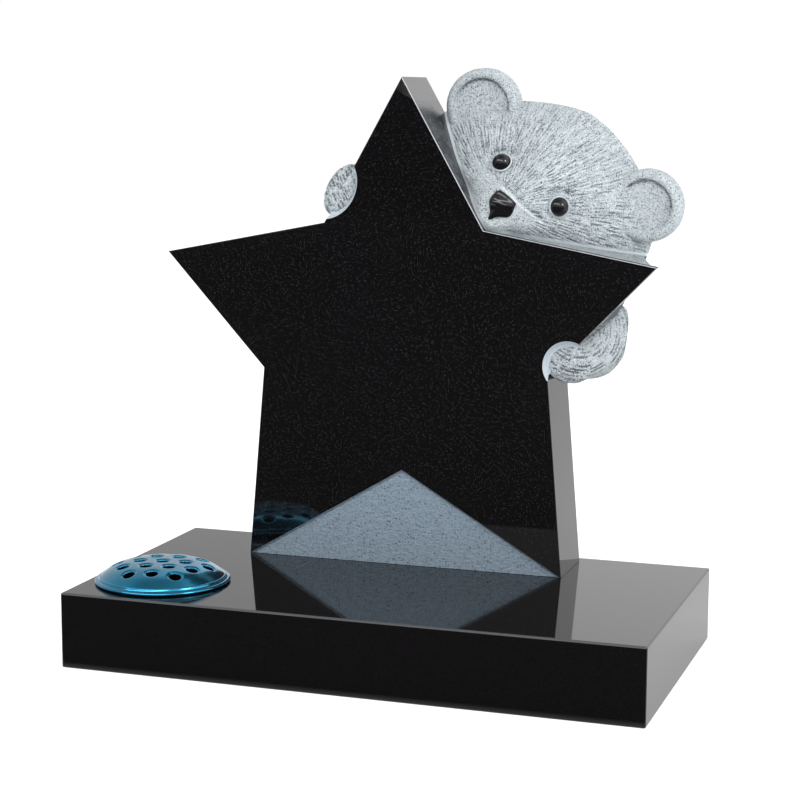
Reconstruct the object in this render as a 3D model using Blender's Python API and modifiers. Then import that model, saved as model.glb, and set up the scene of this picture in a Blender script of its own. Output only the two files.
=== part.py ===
"""A polished granite headstone: a star on a slab, with a teddy bear carved from the same block
as the star and looking over its shoulder, and a domed lid over the flower holder's well.

The front faces -Y, the origin is on the ground under the middle of the slab, sizes are in metres.
The bear is a high relief: each of its forms stands on the stone's flat back and rises towards
the star's polished front, so a depth below is measured from the star's front face.
"""
import math

import bmesh
import bpy
from mathutils import Matrix, Vector

# The slab, and the well drilled in it for the flower holder
SLAB_WIDTH = 0.610
SLAB_DEPTH = 0.330
SLAB_HEIGHT = 0.079
SLAB_ARRIS = 0.0018
WELL_RADIUS = 0.0580
WELL_DEPTH = 0.060
WELL_FROM_LEFT = 0.0769
WELL_FROM_FRONT = 0.0820
BEDDING_GAP = 0.0003

# The star: one polished plate, sawn flat at the back
STONE_THICKNESS = 0.0846
STONE_FROM_BACK = 0.0154
STAR_SHIFT = -0.0152
STAR_ARRIS = 0.0010
STAR_HEIGHT = 0.5238
UPPER_NOTCH_HALF_WIDTH = 0.0889
UPPER_NOTCH_HEIGHT = 0.3671
TIP_HALF_WIDTH = 0.2732
TIP_HEIGHT = 0.3326
LOWER_NOTCH_HALF_WIDTH = 0.1599
LOWER_NOTCH_HEIGHT = 0.2123
FOOT_HALF_WIDTH = 0.1780
# The star was drawn by hand: its left side stands a little higher than its right side
NOTCH_DROP = 0.0022
TIP_DROP = 0.0010
LOWER_NOTCH_RISE = 0.0030
SIDE_DRIFT = 0.0015

# The frosted triangle between the star's feet
TRIANGLE_HEIGHT = 0.1052
TRIANGLE_RECESS = 0.0025
TRIANGLE_BEVEL = 0.0022

# Behind its right tip the star is only a thin plate, cut free of the block
TIP_PLATE = 0.012
TIP_CUT_REACH = 0.60
# The cut's inner wall, as its top and low ends just behind the plate and on the stone's back
TIP_CUT_FRONT = ((0.2660, 0.3337), (0.2393, 0.2907))
TIP_CUT_BACK = ((0.2475, 0.3367), (0.2275, 0.2767))

# The bear's head stands off the star's upper right notch. In its own frame u runs from ear to
# ear and v up to the crown
HEAD_FROM_NOTCH = (0.0438, 0.0369)
HEAD_TILT = math.radians(-30.0)
HEAD_RIGHT = 0.130
HEAD_LEFT = 0.150
HEAD_CROWN = 0.097
HEAD_CHIN = 0.080
HEAD_RIGHT_POWER = 1.75
HEAD_LEFT_POWER = 1.40
MUZZLE_U = -0.020
MUZZLE_V = -0.028
MUZZLE_FLAT = 0.018
MUZZLE_DEPTH = 0.0040
HEAD_EDGE = 0.006
HEAD_EDGE_POWER = 8
HEAD_SLOPE_SIDES = 1.08
HEAD_SLOPE_CROWN = 1.55
FUR_LOCKS = 30
FUR_DEPTH = 0.0010

# Ears, eyes and nose
LEFT_EAR_RADIUS = 0.0410
RIGHT_EAR_RADIUS = 0.0388
EAR_HEIGHT = 0.0205
EAR_RIM_WIDTH = 0.0110
EAR_DISH_DEPTH = 0.0055
# The ear's section: shares of the dish with the rise of its floor, then shares of the rim's
# width with shares of the ear's height
EAR_FLOOR = ((0.0, 0.0), (0.6, 0.0002), (1.0, 0.0010))
EAR_RIM = ((0.18, 1.0), (0.50, 1.0), (0.82, 0.86), (1.0, 0.55))
LEFT_EAR = (-0.1030, 0.0455)
RIGHT_EAR = (0.1038, 0.0468)
EYE_RADIUS = 0.0098
EYE_SUNK = 0.0025
EYE_REACH = 0.420
LEFT_EYE_ANGLE = math.radians(127.5)
RIGHT_EYE_ANGLE = math.radians(34.2)
NOSE_PROUD = 0.0030
NOSE_RING_ANGLES = (25, 50, 70, 90)
# The nose's outline, from the middle of the muzzle
NOSE_OUTLINE = (
    (-0.0070, 0.0090), (0.0005, 0.0185), (0.0070, 0.0185), (0.0205, 0.0080),
    (0.0210, 0.0040), (0.0150, -0.0075), (0.0020, -0.0085), (-0.0080, -0.0110), (-0.0065, -0.0030),
)

# The paws and the arm, which wrap round the star's sides: the right paw stands off the lower
# right notch, the left one lies along the upper left edge
PAW_FROM_NOTCH = (0.0218, 0.0102)
PAW_RADIUS = 0.0250
PAW_UNDERSIDE = 0.0190
PAW_FRONT_DEPTH = 0.0010
PAW_CAP = 0.012
PAW_CAP_ANGLES = (15, 35, 55, 75)
ARM_FLARE = 1.9
# The arm's outline on the stone's back, from the paw's middle, elbow first
ARM_OUTLINE = (
    (0.0430, 0.0535), (0.0428, 0.0120), (0.0360, -0.0045), (0.0228, -0.0178), (0.0050, -0.0232),
    (-0.0130, -0.0205), (-0.0280, -0.0120), (-0.0180, 0.0200), (0.0120, 0.0560),
)
ARM_GROOVES = 9
ARM_GROOVE_DEPTH = 0.0011
LEFT_PAW_ALONG = 0.0385
LEFT_PAW_OUT = 0.0024
LEFT_PAW_HALF_LENGTH = 0.0300
LEFT_PAW_HALF_WIDTH = 0.0175
LEFT_PAW_GROOVES = 8
SCOOP_DEPTH = 0.0060
SCOOP_BEVEL = 0.0030
SCOOP_RADIUS = 0.0270
LEFT_SCOOP_RADIUS = 0.0325
LEFT_SCOOP_OUT = 0.0140

# The flower holder's lid: one spun sheet with a rolled rim and a skirt in the well
LID_WALL = 0.0016
LID_RIM_RADIUS = 0.0710
LID_RIM_HEIGHT = 0.0040
LID_CROWN_HEIGHT = 0.0216
LID_CROWN_RADIUS = 0.0645
LID_CROWN_DROP = 0.0143
LID_CROWN_POWER = 4
LID_SEAT_RADIUS = 0.0690
LID_UNDER_RIM = 0.0020
# The crown's rings as shares of its radius, then the rolled rim's section: in from the rim's
# edge, and over the rim's height
LID_CROWN_RINGS = (0.0, 0.25, 0.45, 0.60, 0.73, 0.83, 0.92, 1.0)
LID_RIM_SECTION = (
    (0.0056, 0.0031), (0.0041, 0.0012), (0.0028, 0.0001), (0.0013, 0.0), (0.0002, -0.0009),
    (0.0, -0.0018), (0.0008, -0.0029),
)
LID_SKIRT_LENGTH = 0.012
LID_SKIRT_CLEARANCE = 0.0012
STEM_HOLE_RADIUS = 0.0062
STEM_HOLE_DISH = 0.0021
STEM_HOLE_DISH_DEPTH = 0.0007
STEM_HOLE_PITCH = 0.0245
STEM_HOLE_TURN = math.radians(10.3)

# How finely the round forms are divided
HEAD_AROUND = 90
HEAD_RINGS = 13
EAR_AROUND = 36
EYE_AROUND = 20
EYE_RINGS = 12
NOSE_AROUND = 28
ARM_AROUND = 36
ARM_STEPS = 5
SCOOP_AROUND = 48
LID_AROUND = 44
STEM_HOLE_AROUND = 12

SLAB_TOP = SLAB_HEIGHT
STONE_FOOT = SLAB_HEIGHT + BEDDING_GAP
STONE_BACK = SLAB_DEPTH / 2 - STONE_FROM_BACK
STONE_FRONT = STONE_BACK - STONE_THICKNESS
WELL_X = -SLAB_WIDTH / 2 + WELL_FROM_LEFT
WELL_Y = -SLAB_DEPTH / 2 + WELL_FROM_FRONT
OVERCUT = 0.010


def start_collections():
    """Removes what the scene holds, and gives the headstone's collection and the cutters'."""
    for old in list(bpy.data.objects):
        bpy.data.objects.remove(old, do_unlink=True)
    scene = bpy.context.scene
    parts = bpy.data.collections.new("headstone")
    cutters = bpy.data.collections.new("cutters")
    scene.collection.children.link(parts)
    scene.collection.children.link(cutters)
    return parts, cutters


def finish_material(name, colour, roughness, metallic=0.0):
    """A plain Principled material."""
    material = bpy.data.materials.new(name)
    material.use_nodes = True
    shader = material.node_tree.nodes["Principled BSDF"]
    shader.inputs["Base Color"].default_value = (*colour, 1.0)
    shader.inputs["Roughness"].default_value = roughness
    shader.inputs["Metallic"].default_value = metallic
    return material


def mesh_object(name, mesh_bm, collection):
    """Puts a bmesh into a new object with its faces pointing out."""
    bmesh.ops.recalc_face_normals(mesh_bm, faces=mesh_bm.faces)
    mesh = bpy.data.meshes.new(name)
    mesh_bm.to_mesh(mesh)
    mesh_bm.free()
    placed = bpy.data.objects.new(name, mesh)
    collection.objects.link(placed)
    return placed


def as_cutter(cutter):
    """Marks an object as a cutter or a joined form, which isn't a part of its own."""
    cutter.hide_render = True
    cutter.display_type = "WIRE"
    return cutter


def combine(target, other, operation):
    """Adds a Boolean modifier that joins or cuts another object."""
    step = target.modifiers.new(other.name, "BOOLEAN")
    step.operation = operation
    step.object = other
    step.solver = "EXACT"


def outline_plate(name, outline, front, back, collection):
    """A flat outline in x and z, drawn as a filled 2D curve and extruded between two depths."""
    drawn = bpy.data.curves.new(name, "CURVE")
    drawn.dimensions = "2D"
    drawn.fill_mode = "BOTH"
    drawn.extrude = (back - front) / 2
    spline = drawn.splines.new("POLY")
    spline.points.add(len(outline) - 1)
    for point, (x, z) in zip(spline.points, outline):
        point.co = (x, z, 0.0, 1.0)
    spline.use_cyclic_u = True
    curve = bpy.data.objects.new(name, drawn)
    collection.objects.link(curve)
    upright = Matrix.Translation((0.0, (front + back) / 2, 0.0)) @ Matrix.Rotation(math.pi / 2, 4, "X")
    curve.matrix_world = upright
    bpy.context.view_layer.update()
    mesh = bpy.data.meshes.new_from_object(curve.evaluated_get(bpy.context.evaluated_depsgraph_get()))
    welded = bmesh.new()
    welded.from_mesh(mesh)
    welded.transform(upright)
    bmesh.ops.remove_doubles(welded, verts=welded.verts, dist=0.00001)
    bpy.data.objects.remove(curve, do_unlink=True)
    return mesh_object(name, welded, collection)


def lofted_form(name, rings, collection, first_tip=None):
    """Joins rings of equal count, one after another, and closes both ends."""
    shape = bmesh.new()
    loops = [[shape.verts.new(point) for point in ring] for ring in rings]
    for lower, upper in zip(loops, loops[1:]):
        for a, b, c, d in zip(lower, lower[1:] + lower[:1], upper[1:] + upper[:1], upper):
            shape.faces.new((a, b, c, d))
    if first_tip is None:
        shape.faces.new(loops[0])
    else:
        tip = shape.verts.new(first_tip)
        for a, b in zip(loops[0], loops[0][1:] + loops[0][:1]):
            shape.faces.new((a, tip, b))
    shape.faces.new(list(reversed(loops[-1])))
    return mesh_object(name, shape, collection)


def hull_block(name, points, collection):
    """The convex block round a few corner points."""
    shape = bmesh.new()
    for point in points:
        shape.verts.new(point)
    bmesh.ops.convex_hull(shape, input=shape.verts)
    return mesh_object(name, shape, collection)


def on_star(across, up, depth):
    """A point given from the star's middle line, the slab's top and the star's front face."""
    return Vector((STAR_SHIFT + across, STONE_FRONT + depth, STONE_FOOT + up))


def star_corners():
    """The star's corners, clockwise from its top, as x from the middle and height above the slab."""
    right = (
        (UPPER_NOTCH_HALF_WIDTH, UPPER_NOTCH_HEIGHT, -NOTCH_DROP),
        (TIP_HALF_WIDTH, TIP_HEIGHT, -TIP_DROP),
        (LOWER_NOTCH_HALF_WIDTH, LOWER_NOTCH_HEIGHT, LOWER_NOTCH_RISE),
        (FOOT_HALF_WIDTH, 0.0, 0.0),
    )
    corners = [(0.0, STAR_HEIGHT)]
    corners += [(across + SIDE_DRIFT, up + shift) for across, up, shift in right]
    corners += [(-across + SIDE_DRIFT, up - shift) for across, up, shift in reversed(right)]
    return corners


def star_plate(collection):
    """The star with its fine arris, a little thicker than the stone until its back is sawn."""
    outline = [(STAR_SHIFT + across, STONE_FOOT + up) for across, up in star_corners()]
    plate = outline_plate("headstone", outline, STONE_FRONT, STONE_BACK + OVERCUT, collection)
    arris = plate.modifiers.new("arris", "BEVEL")
    arris.width = STAR_ARRIS
    arris.segments = 1
    arris.limit_method = "ANGLE"
    arris.angle_limit = math.radians(15.0)
    return plate


def triangle_cutter(collection):
    """The shallow triangle between the feet, with slanted edges."""
    corners = star_corners()
    left, right = corners[5][0], corners[4][0]
    middle = (left + right) / 2
    outer = TRIANGLE_BEVEL * OVERCUT / TRIANGLE_RECESS
    points = []
    for depth, grow in ((-OVERCUT, outer), (TRIANGLE_RECESS, -TRIANGLE_BEVEL)):
        for across, up in ((left, 0.0), (right, 0.0), (middle, TRIANGLE_HEIGHT)):
            side = 0.0 if across == middle else math.copysign(grow * 2, across - middle)
            lift = grow if across == middle else 0.0
            points.append(on_star(across + side, up + lift, depth))
    points += [Vector((p.x, p.y, p.z - OVERCUT)) for p in points if p.z < STONE_FOOT + OVERCUT]
    return as_cutter(hull_block("triangle_recess", points, collection))


def tip_cutter(collection):
    """The wedge cut away behind the right tip, which leaves the tip a thin plate."""
    points = []
    for depth, ends in ((TIP_PLATE, TIP_CUT_FRONT), (STONE_THICKNESS + OVERCUT * 2, TIP_CUT_BACK)):
        top, low = Vector(ends[0]), Vector(ends[1])
        run = (top - low) * TIP_CUT_REACH
        for place in (top + run, low - run):
            points.append(on_star(place.x, place.y, depth))
            points.append(on_star(TIP_HALF_WIDTH + OVERCUT * 4, place.y, depth))
    return as_cutter(hull_block("tip_relief", points, collection))


def head_outline(angle):
    """The head's outline on the stone's back, in the head's frame: a superellipse whose two
    sides have their own widths and powers."""
    across, up = math.cos(angle), math.sin(angle)
    width, power = (HEAD_RIGHT, HEAD_RIGHT_POWER) if across > 0 else (HEAD_LEFT, HEAD_LEFT_POWER)
    height = HEAD_CROWN if up > 0 else HEAD_CHIN
    u = width * math.copysign(abs(across) ** (2 / power), across)
    v = height * math.copysign(abs(up) ** (2 / power), up)
    return u, v


def head_point(u, v, depth):
    """A point given in the head's frame."""
    notch = star_corners()[1]
    across = notch[0] + HEAD_FROM_NOTCH[0] + u * math.cos(HEAD_TILT) - v * math.sin(HEAD_TILT)
    up = notch[1] + HEAD_FROM_NOTCH[1] + u * math.sin(HEAD_TILT) + v * math.cos(HEAD_TILT)
    return on_star(across, up, depth)


def head_surface(angle, reach, furrow=0.0):
    """The face: reach runs from 0 at the muzzle's middle to 1 at the outline. The depth grows
    by a power of the way gone, and the crown is rounder than the cheeks."""
    edge_u, edge_v = head_outline(angle)
    way_u, way_v = edge_u - MUZZLE_U, edge_v - MUZZLE_V
    length = math.hypot(way_u, way_v)
    gone = max(0.0, (reach * length - MUZZLE_FLAT) / (length - MUZZLE_FLAT))
    crown = max(0.0, math.sin(angle)) ** 2
    power = HEAD_SLOPE_SIDES + (HEAD_SLOPE_CROWN - HEAD_SLOPE_SIDES) * crown
    rise = STONE_THICKNESS - MUZZLE_DEPTH - HEAD_EDGE
    height = rise * (1 - gone ** power) + HEAD_EDGE * math.sqrt(max(0.0, 1 - gone ** HEAD_EDGE_POWER))
    fur = furrow * math.sin(math.pi * gone) * (1 + math.cos(FUR_LOCKS * angle)) / 2
    return MUZZLE_U + reach * way_u, MUZZLE_V + reach * way_v, STONE_THICKNESS - height + fur


def bear_head(collection):
    """The head: rings from the muzzle to the outline, with locks of fur as shallow furrows."""
    rings = []
    for step in range(1, HEAD_RINGS + 1):
        reach = step / HEAD_RINGS
        ring = []
        for turn in range(HEAD_AROUND):
            angle = 2 * math.pi * turn / HEAD_AROUND
            ring.append(head_point(*head_surface(angle, reach, FUR_DEPTH)))
        rings.append(ring)
    rings.append([point + Vector((0.0, OVERCUT / 2, 0.0)) for point in rings[-1]])
    middle = head_point(MUZZLE_U, MUZZLE_V, MUZZLE_DEPTH)
    return as_cutter(lofted_form("bear_head", rings, collection, first_tip=middle))


def bear_ear(name, place, radius, collection):
    """An ear: a turned disc with a rounded rim and a dish, standing on the stone's back."""
    dish = radius - EAR_RIM_WIDTH
    floor = EAR_HEIGHT - EAR_DISH_DEPTH
    section = [(dish * share, floor + rise) for share, rise in EAR_FLOOR]
    section += [(dish + EAR_RIM_WIDTH * share, EAR_HEIGHT * height) for share, height in EAR_RIM]
    section += [(radius, -OVERCUT / 2), (0.0, -OVERCUT / 2)]
    middle = head_point(*place, STONE_THICKNESS)
    upright = Matrix.Translation(middle) @ Matrix.Rotation(math.pi / 2, 4, "X")
    return as_cutter(turned_form(name, section, EAR_AROUND, upright, collection))


def turned_form(name, section, around, placing, collection):
    """Turns a section, given as radius and height and running down its outer side, by Screw."""
    drawn = bpy.data.meshes.new(name)
    drawn.from_pydata([(r, 0.0, h) for r, h in section], [(i, i + 1) for i in range(len(section) - 1)], [])
    spun = bpy.data.objects.new(name, drawn)
    collection.objects.link(spun)
    screw = spun.modifiers.new("turn", "SCREW")
    screw.steps = around
    screw.render_steps = around
    screw.use_merge_vertices = True
    screw.merge_threshold = 0.00001
    bpy.context.view_layer.update()
    mesh = bpy.data.meshes.new_from_object(spun.evaluated_get(bpy.context.evaluated_depsgraph_get()))
    bpy.data.objects.remove(spun, do_unlink=True)
    turned = bmesh.new()
    turned.from_mesh(mesh)
    bmesh.ops.remove_doubles(turned, verts=turned.verts, dist=0.00001)
    turned.transform(placing)
    return mesh_object(name, turned, collection)


def bear_eye(name, angle, collection):
    """An eye: a polished ball, mostly sunk in the face."""
    u, v, depth = head_surface(angle, EYE_REACH)
    ball = bmesh.new()
    centre = head_point(u, v, depth + EYE_SUNK)
    bmesh.ops.create_uvsphere(
        ball, u_segments=EYE_AROUND, v_segments=EYE_RINGS, radius=EYE_RADIUS,
        matrix=Matrix.Translation(centre) @ Matrix.Rotation(math.pi / 2, 4, "X"),
    )
    return as_cutter(mesh_object(name, ball, collection))


def bear_nose(collection):
    """The nose: a pebble with a rounded triangle's outline and a stem, proud of the muzzle."""
    middle = head_point(MUZZLE_U, MUZZLE_V, MUZZLE_DEPTH)
    loop = smooth_loop(NOSE_OUTLINE, NOSE_AROUND)
    across = sum(x for x, _ in loop) / NOSE_AROUND
    up = sum(z for _, z in loop) / NOSE_AROUND
    rings = []
    for turn in NOSE_RING_ANGLES:
        share = math.sin(math.radians(turn))
        front = middle.y - NOSE_PROUD * math.cos(math.radians(turn))
        rings.append([
            Vector((middle.x + across + (x - across) * share, front, middle.z + up + (z - up) * share))
            for x, z in loop
        ])
    rings.append([point + Vector((0.0, OVERCUT / 2, 0.0)) for point in rings[-1]])
    tip = Vector((middle.x + across, middle.y - NOSE_PROUD, middle.z + up))
    return as_cutter(lofted_form("bear_nose", rings, collection, first_tip=tip))


def smooth_loop(points, count):
    """Points spread evenly by index along a closed Catmull-Rom curve through a few others."""
    total = len(points)
    loop = []
    for index in range(count):
        place = index * total / count
        start = int(place)
        t = place - start
        a, b, c, d = (points[(start + k) % total] for k in (-1, 0, 1, 2))
        loop.append(tuple(
            0.5 * (2 * b[i] + (c[i] - a[i]) * t + (2 * a[i] - 5 * b[i] + 4 * c[i] - d[i]) * t * t
                   + (3 * b[i] - a[i] - 3 * c[i] + d[i]) * t ** 3)
            for i in (0, 1)
        ))
    return loop


def wrapped_limb(name, middle, front_loop, back_loop, flare, grooves, collection):
    """A limb from the stone's back to its front: a rounded cap over the front outline, which
    widens to the back outline. Both outlines are given from the middle."""
    count = len(front_loop)
    rings = []

    def ring(share, widen, depth):
        points = []
        for index, (near, far) in enumerate(zip(front_loop, back_loop)):
            groove = ARM_GROOVE_DEPTH * (1 - math.cos(2 * math.pi * grooves * index / count)) / 2
            across = near[0] + (far[0] - near[0]) * widen
            up = near[1] + (far[1] - near[1]) * widen
            keep = share * (1 - groove / math.hypot(across, up))
            points.append(on_star(middle[0] + across * keep, middle[1] + up * keep, depth))
        return points

    for turn in PAW_CAP_ANGLES:
        angle = math.radians(turn)
        rings.append(ring(math.sin(angle), 0.0, PAW_FRONT_DEPTH + PAW_CAP * (1 - math.cos(angle))))
    start = PAW_FRONT_DEPTH + PAW_CAP
    for step in range(ARM_STEPS + 1):
        way = step / ARM_STEPS
        rings.append(ring(1.0, way ** flare, start + (STONE_THICKNESS - start) * way))
    rings.append([point + Vector((0.0, OVERCUT / 2, 0.0)) for point in rings[-1]])
    tip = on_star(middle[0], middle[1], PAW_FRONT_DEPTH)
    return as_cutter(lofted_form(name, rings, collection, first_tip=tip))


def right_paw_middle():
    """The right paw's middle, off the star's lower right notch."""
    notch = star_corners()[3]
    return notch[0] + PAW_FROM_NOTCH[0], notch[1] + PAW_FROM_NOTCH[1]


def bear_arm(collection):
    """The arm round the star's right side, from its elbow at the back to its paw."""
    back = smooth_loop(ARM_OUTLINE, ARM_AROUND)
    front = []
    for across, up in back:
        length = math.hypot(across, up)
        front.append((across / length * PAW_RADIUS, up / length * (PAW_RADIUS if up > 0 else PAW_UNDERSIDE)))
    return wrapped_limb("bear_arm", right_paw_middle(), front, back, ARM_FLARE, ARM_GROOVES, collection)


def left_edge_frame():
    """The unit vectors along the star's upper left edge and out of it, and the left paw's middle."""
    corners = star_corners()
    notch, top = Vector(corners[8]), Vector(corners[0])
    along = (top - notch).normalized()
    out = Vector((-along.y, along.x))
    return along, out, notch + along * LEFT_PAW_ALONG + out * LEFT_PAW_OUT


def left_paw(collection):
    """The paw round the star's upper left edge, which lies along that edge."""
    along, out, middle = left_edge_frame()
    loop = []
    for turn in range(ARM_AROUND):
        angle = 2 * math.pi * turn / ARM_AROUND
        place = along * LEFT_PAW_HALF_LENGTH * math.cos(angle) + out * LEFT_PAW_HALF_WIDTH * math.sin(angle)
        loop.append((place.x, place.y))
    return wrapped_limb("bear_left_paw", middle, loop, loop, 1.0, LEFT_PAW_GROOVES, collection)


def scoop(name, place, radius, collection):
    """A shallow round bay with a bevelled edge, cut in the star's front for a paw."""
    overshoot = SCOOP_BEVEL * OVERCUT / SCOOP_DEPTH
    bay = bmesh.new()
    middle = on_star(*place, (SCOOP_DEPTH - OVERCUT) / 2)
    placing = Matrix.Translation(middle) @ Matrix.Rotation(math.pi / 2, 4, "X")
    bmesh.ops.create_cone(
        bay, cap_ends=True, segments=SCOOP_AROUND, radius1=radius - SCOOP_BEVEL, radius2=radius + overshoot,
        depth=SCOOP_DEPTH + OVERCUT, matrix=placing,
    )
    return as_cutter(mesh_object(name, bay, collection))


def headstone(parts, cutters):
    """The star and the bear, carved from one block."""
    stone = star_plate(parts)
    combine(stone, triangle_cutter(cutters), "DIFFERENCE")
    combine(stone, tip_cutter(cutters), "DIFFERENCE")
    combine(stone, scoop("paw_bay", right_paw_middle(), SCOOP_RADIUS, cutters), "DIFFERENCE")
    _, out, middle = left_edge_frame()
    left_bay = scoop("left_paw_bay", middle + out * LEFT_SCOOP_OUT, LEFT_SCOOP_RADIUS, cutters)
    combine(stone, left_bay, "DIFFERENCE")
    forms = (
        bear_head(cutters),
        bear_ear("bear_left_ear", LEFT_EAR, LEFT_EAR_RADIUS, cutters),
        bear_ear("bear_right_ear", RIGHT_EAR, RIGHT_EAR_RADIUS, cutters),
        bear_eye("bear_left_eye", LEFT_EYE_ANGLE, cutters),
        bear_eye("bear_right_eye", RIGHT_EYE_ANGLE, cutters),
        bear_nose(cutters),
        bear_arm(cutters),
        left_paw(cutters),
    )
    for form in forms:
        combine(stone, form, "UNION")
    half_width = TIP_HALF_WIDTH + OVERCUT * 4
    saw = outline_plate("back_saw", [
        (-half_width, STONE_FOOT - OVERCUT), (half_width, STONE_FOOT - OVERCUT),
        (half_width, STONE_FOOT + STAR_HEIGHT + OVERCUT * 4), (-half_width, STONE_FOOT + STAR_HEIGHT + OVERCUT * 4),
    ], STONE_BACK, STONE_BACK + OVERCUT * 2, cutters)
    combine(stone, as_cutter(saw), "DIFFERENCE")
    stone.data.materials.append(finish_material("polished_granite", (0.012, 0.012, 0.014), 0.06))
    return stone


def slab(parts, cutters):
    """The slab with its fine arris and the drilled well."""
    block = bmesh.new()
    bmesh.ops.create_cube(block, size=1.0)
    bmesh.ops.scale(block, vec=(SLAB_WIDTH, SLAB_DEPTH, SLAB_HEIGHT), verts=block.verts)
    bmesh.ops.translate(block, vec=(0.0, 0.0, SLAB_HEIGHT / 2), verts=block.verts)
    base = mesh_object("base", block, parts)
    arris = base.modifiers.new("arris", "BEVEL")
    arris.width = SLAB_ARRIS
    arris.segments = 2
    drill = bmesh.new()
    middle = Matrix.Translation((WELL_X, WELL_Y, SLAB_TOP - WELL_DEPTH / 2 + OVERCUT / 2))
    bmesh.ops.create_cone(
        drill, cap_ends=True, segments=LID_AROUND, radius1=WELL_RADIUS, radius2=WELL_RADIUS,
        depth=WELL_DEPTH + OVERCUT, matrix=middle,
    )
    combine(base, as_cutter(mesh_object("well_drill", drill, cutters)), "DIFFERENCE")
    base.data.materials.append(finish_material("slab_granite", (0.012, 0.012, 0.014), 0.06))
    return base


def crown_height(radius):
    """The height of the lid's crown over the slab: a dome, nearly flat on top and steep at its foot."""
    return LID_CROWN_HEIGHT - LID_CROWN_DROP * (radius / LID_CROWN_RADIUS) ** LID_CROWN_POWER


def crown_tilt(radius):
    """The crown's slope as an angle."""
    share = (radius / LID_CROWN_RADIUS) ** (LID_CROWN_POWER - 1)
    return math.atan(LID_CROWN_POWER * LID_CROWN_DROP / LID_CROWN_RADIUS * share)


def lid_section():
    """The lid's section, from the crown down its outer side, round the rim, down the skirt
    and back up inside."""
    skirt = WELL_RADIUS - LID_SKIRT_CLEARANCE
    outer = [(LID_CROWN_RADIUS * share, crown_height(LID_CROWN_RADIUS * share)) for share in LID_CROWN_RINGS]
    outer += [(LID_RIM_RADIUS - inward, LID_RIM_HEIGHT + rise) for inward, rise in LID_RIM_SECTION]
    outer += [(LID_SEAT_RADIUS, BEDDING_GAP), (LID_SEAT_RADIUS - LID_WALL, BEDDING_GAP)]
    inner = [
        (LID_SEAT_RADIUS - LID_WALL * 1.5, LID_UNDER_RIM), (skirt, LID_UNDER_RIM),
        (skirt, -LID_SKIRT_LENGTH), (skirt - LID_WALL, -LID_SKIRT_LENGTH),
    ]
    for share in reversed(LID_CROWN_RINGS):
        radius = (skirt - LID_WALL) * share
        inner.append((radius, crown_height(radius) - LID_WALL / math.cos(crown_tilt(radius))))
    return outer + inner


def stem_hole_places():
    """The 19 holes of the lid in rows of 3, 4, 5, 4 and 3, from the lid's middle."""
    places = []
    for row in range(-2, 3):
        count = 5 - abs(row)
        for index in range(count):
            across = (index - (count - 1) / 2) * STEM_HOLE_PITCH
            along = row * STEM_HOLE_PITCH * math.sqrt(3) / 2
            places.append(Vector((across, along, 0.0)))
    turn = Matrix.Rotation(STEM_HOLE_TURN, 3, "Z")
    return [turn @ place for place in places]


def stem_hole_cutters(collection):
    """One turned pin for each hole, square to the crown, whose head dishes the hole's edge."""
    head = STEM_HOLE_RADIUS + STEM_HOLE_DISH * 2
    section = (
        (0.0, STEM_HOLE_DISH_DEPTH), (head, STEM_HOLE_DISH_DEPTH), (STEM_HOLE_RADIUS, -STEM_HOLE_DISH_DEPTH),
        (STEM_HOLE_RADIUS, -OVERCUT / 2), (0.0, -OVERCUT / 2),
    )
    pin = turned_form("stem_hole_pin", section, STEM_HOLE_AROUND, Matrix.Identity(4), collection)
    pins = bmesh.new()
    for place in stem_hole_places():
        radius = place.length
        side = Vector((-place.y, place.x, 0.0)) if radius > 0 else Vector((1.0, 0.0, 0.0))
        surface = Vector((WELL_X + place.x, WELL_Y + place.y, SLAB_TOP + crown_height(radius)))
        copy = pin.data.copy()
        copy.transform(Matrix.Translation(surface) @ Matrix.Rotation(crown_tilt(radius), 4, side))
        pins.from_mesh(copy)
    bpy.data.objects.remove(pin, do_unlink=True)
    return as_cutter(mesh_object("stem_hole_pins", pins, collection))


def flower_holder_lid(parts, cutters):
    """The domed lid over the well."""
    placing = Matrix.Translation((WELL_X, WELL_Y, SLAB_TOP))
    lid = turned_form("flower_holder_lid", lid_section(), LID_AROUND, placing, parts)
    combine(lid, stem_hole_cutters(cutters), "DIFFERENCE")
    lid.data.materials.append(finish_material("blue_anodised_aluminium", (0.05, 0.30, 0.42), 0.28, 1.0))
    return lid


def shade_round_pieces(pieces):
    """Shades the round pieces smooth, with their corners sharp."""
    for piece in pieces:
        piece.data.shade_smooth()
        piece.data.set_sharp_from_angle(angle=math.radians(35.0))


def main():
    parts, cutters = start_collections()
    shade_round_pieces((slab(parts, cutters), headstone(parts, cutters), flower_holder_lid(parts, cutters)))


main()
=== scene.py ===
"""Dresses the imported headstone: a polished star on a slab, the bear carved behind it, and the lid.

Each carved form keeps the outline of its solid and adds the mason's finer work: strokes of fur,
pecked ears, grooved paws. Sizes are in metres; a depth is measured from the star's front face.
"""
import functools
import math

import bmesh
import bpy
import numpy as np
from bpy.props import FloatProperty, FloatVectorProperty, PointerProperty
from mathutils import Matrix, Vector
from mathutils.geometry import delaunay_2d_cdt


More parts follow.
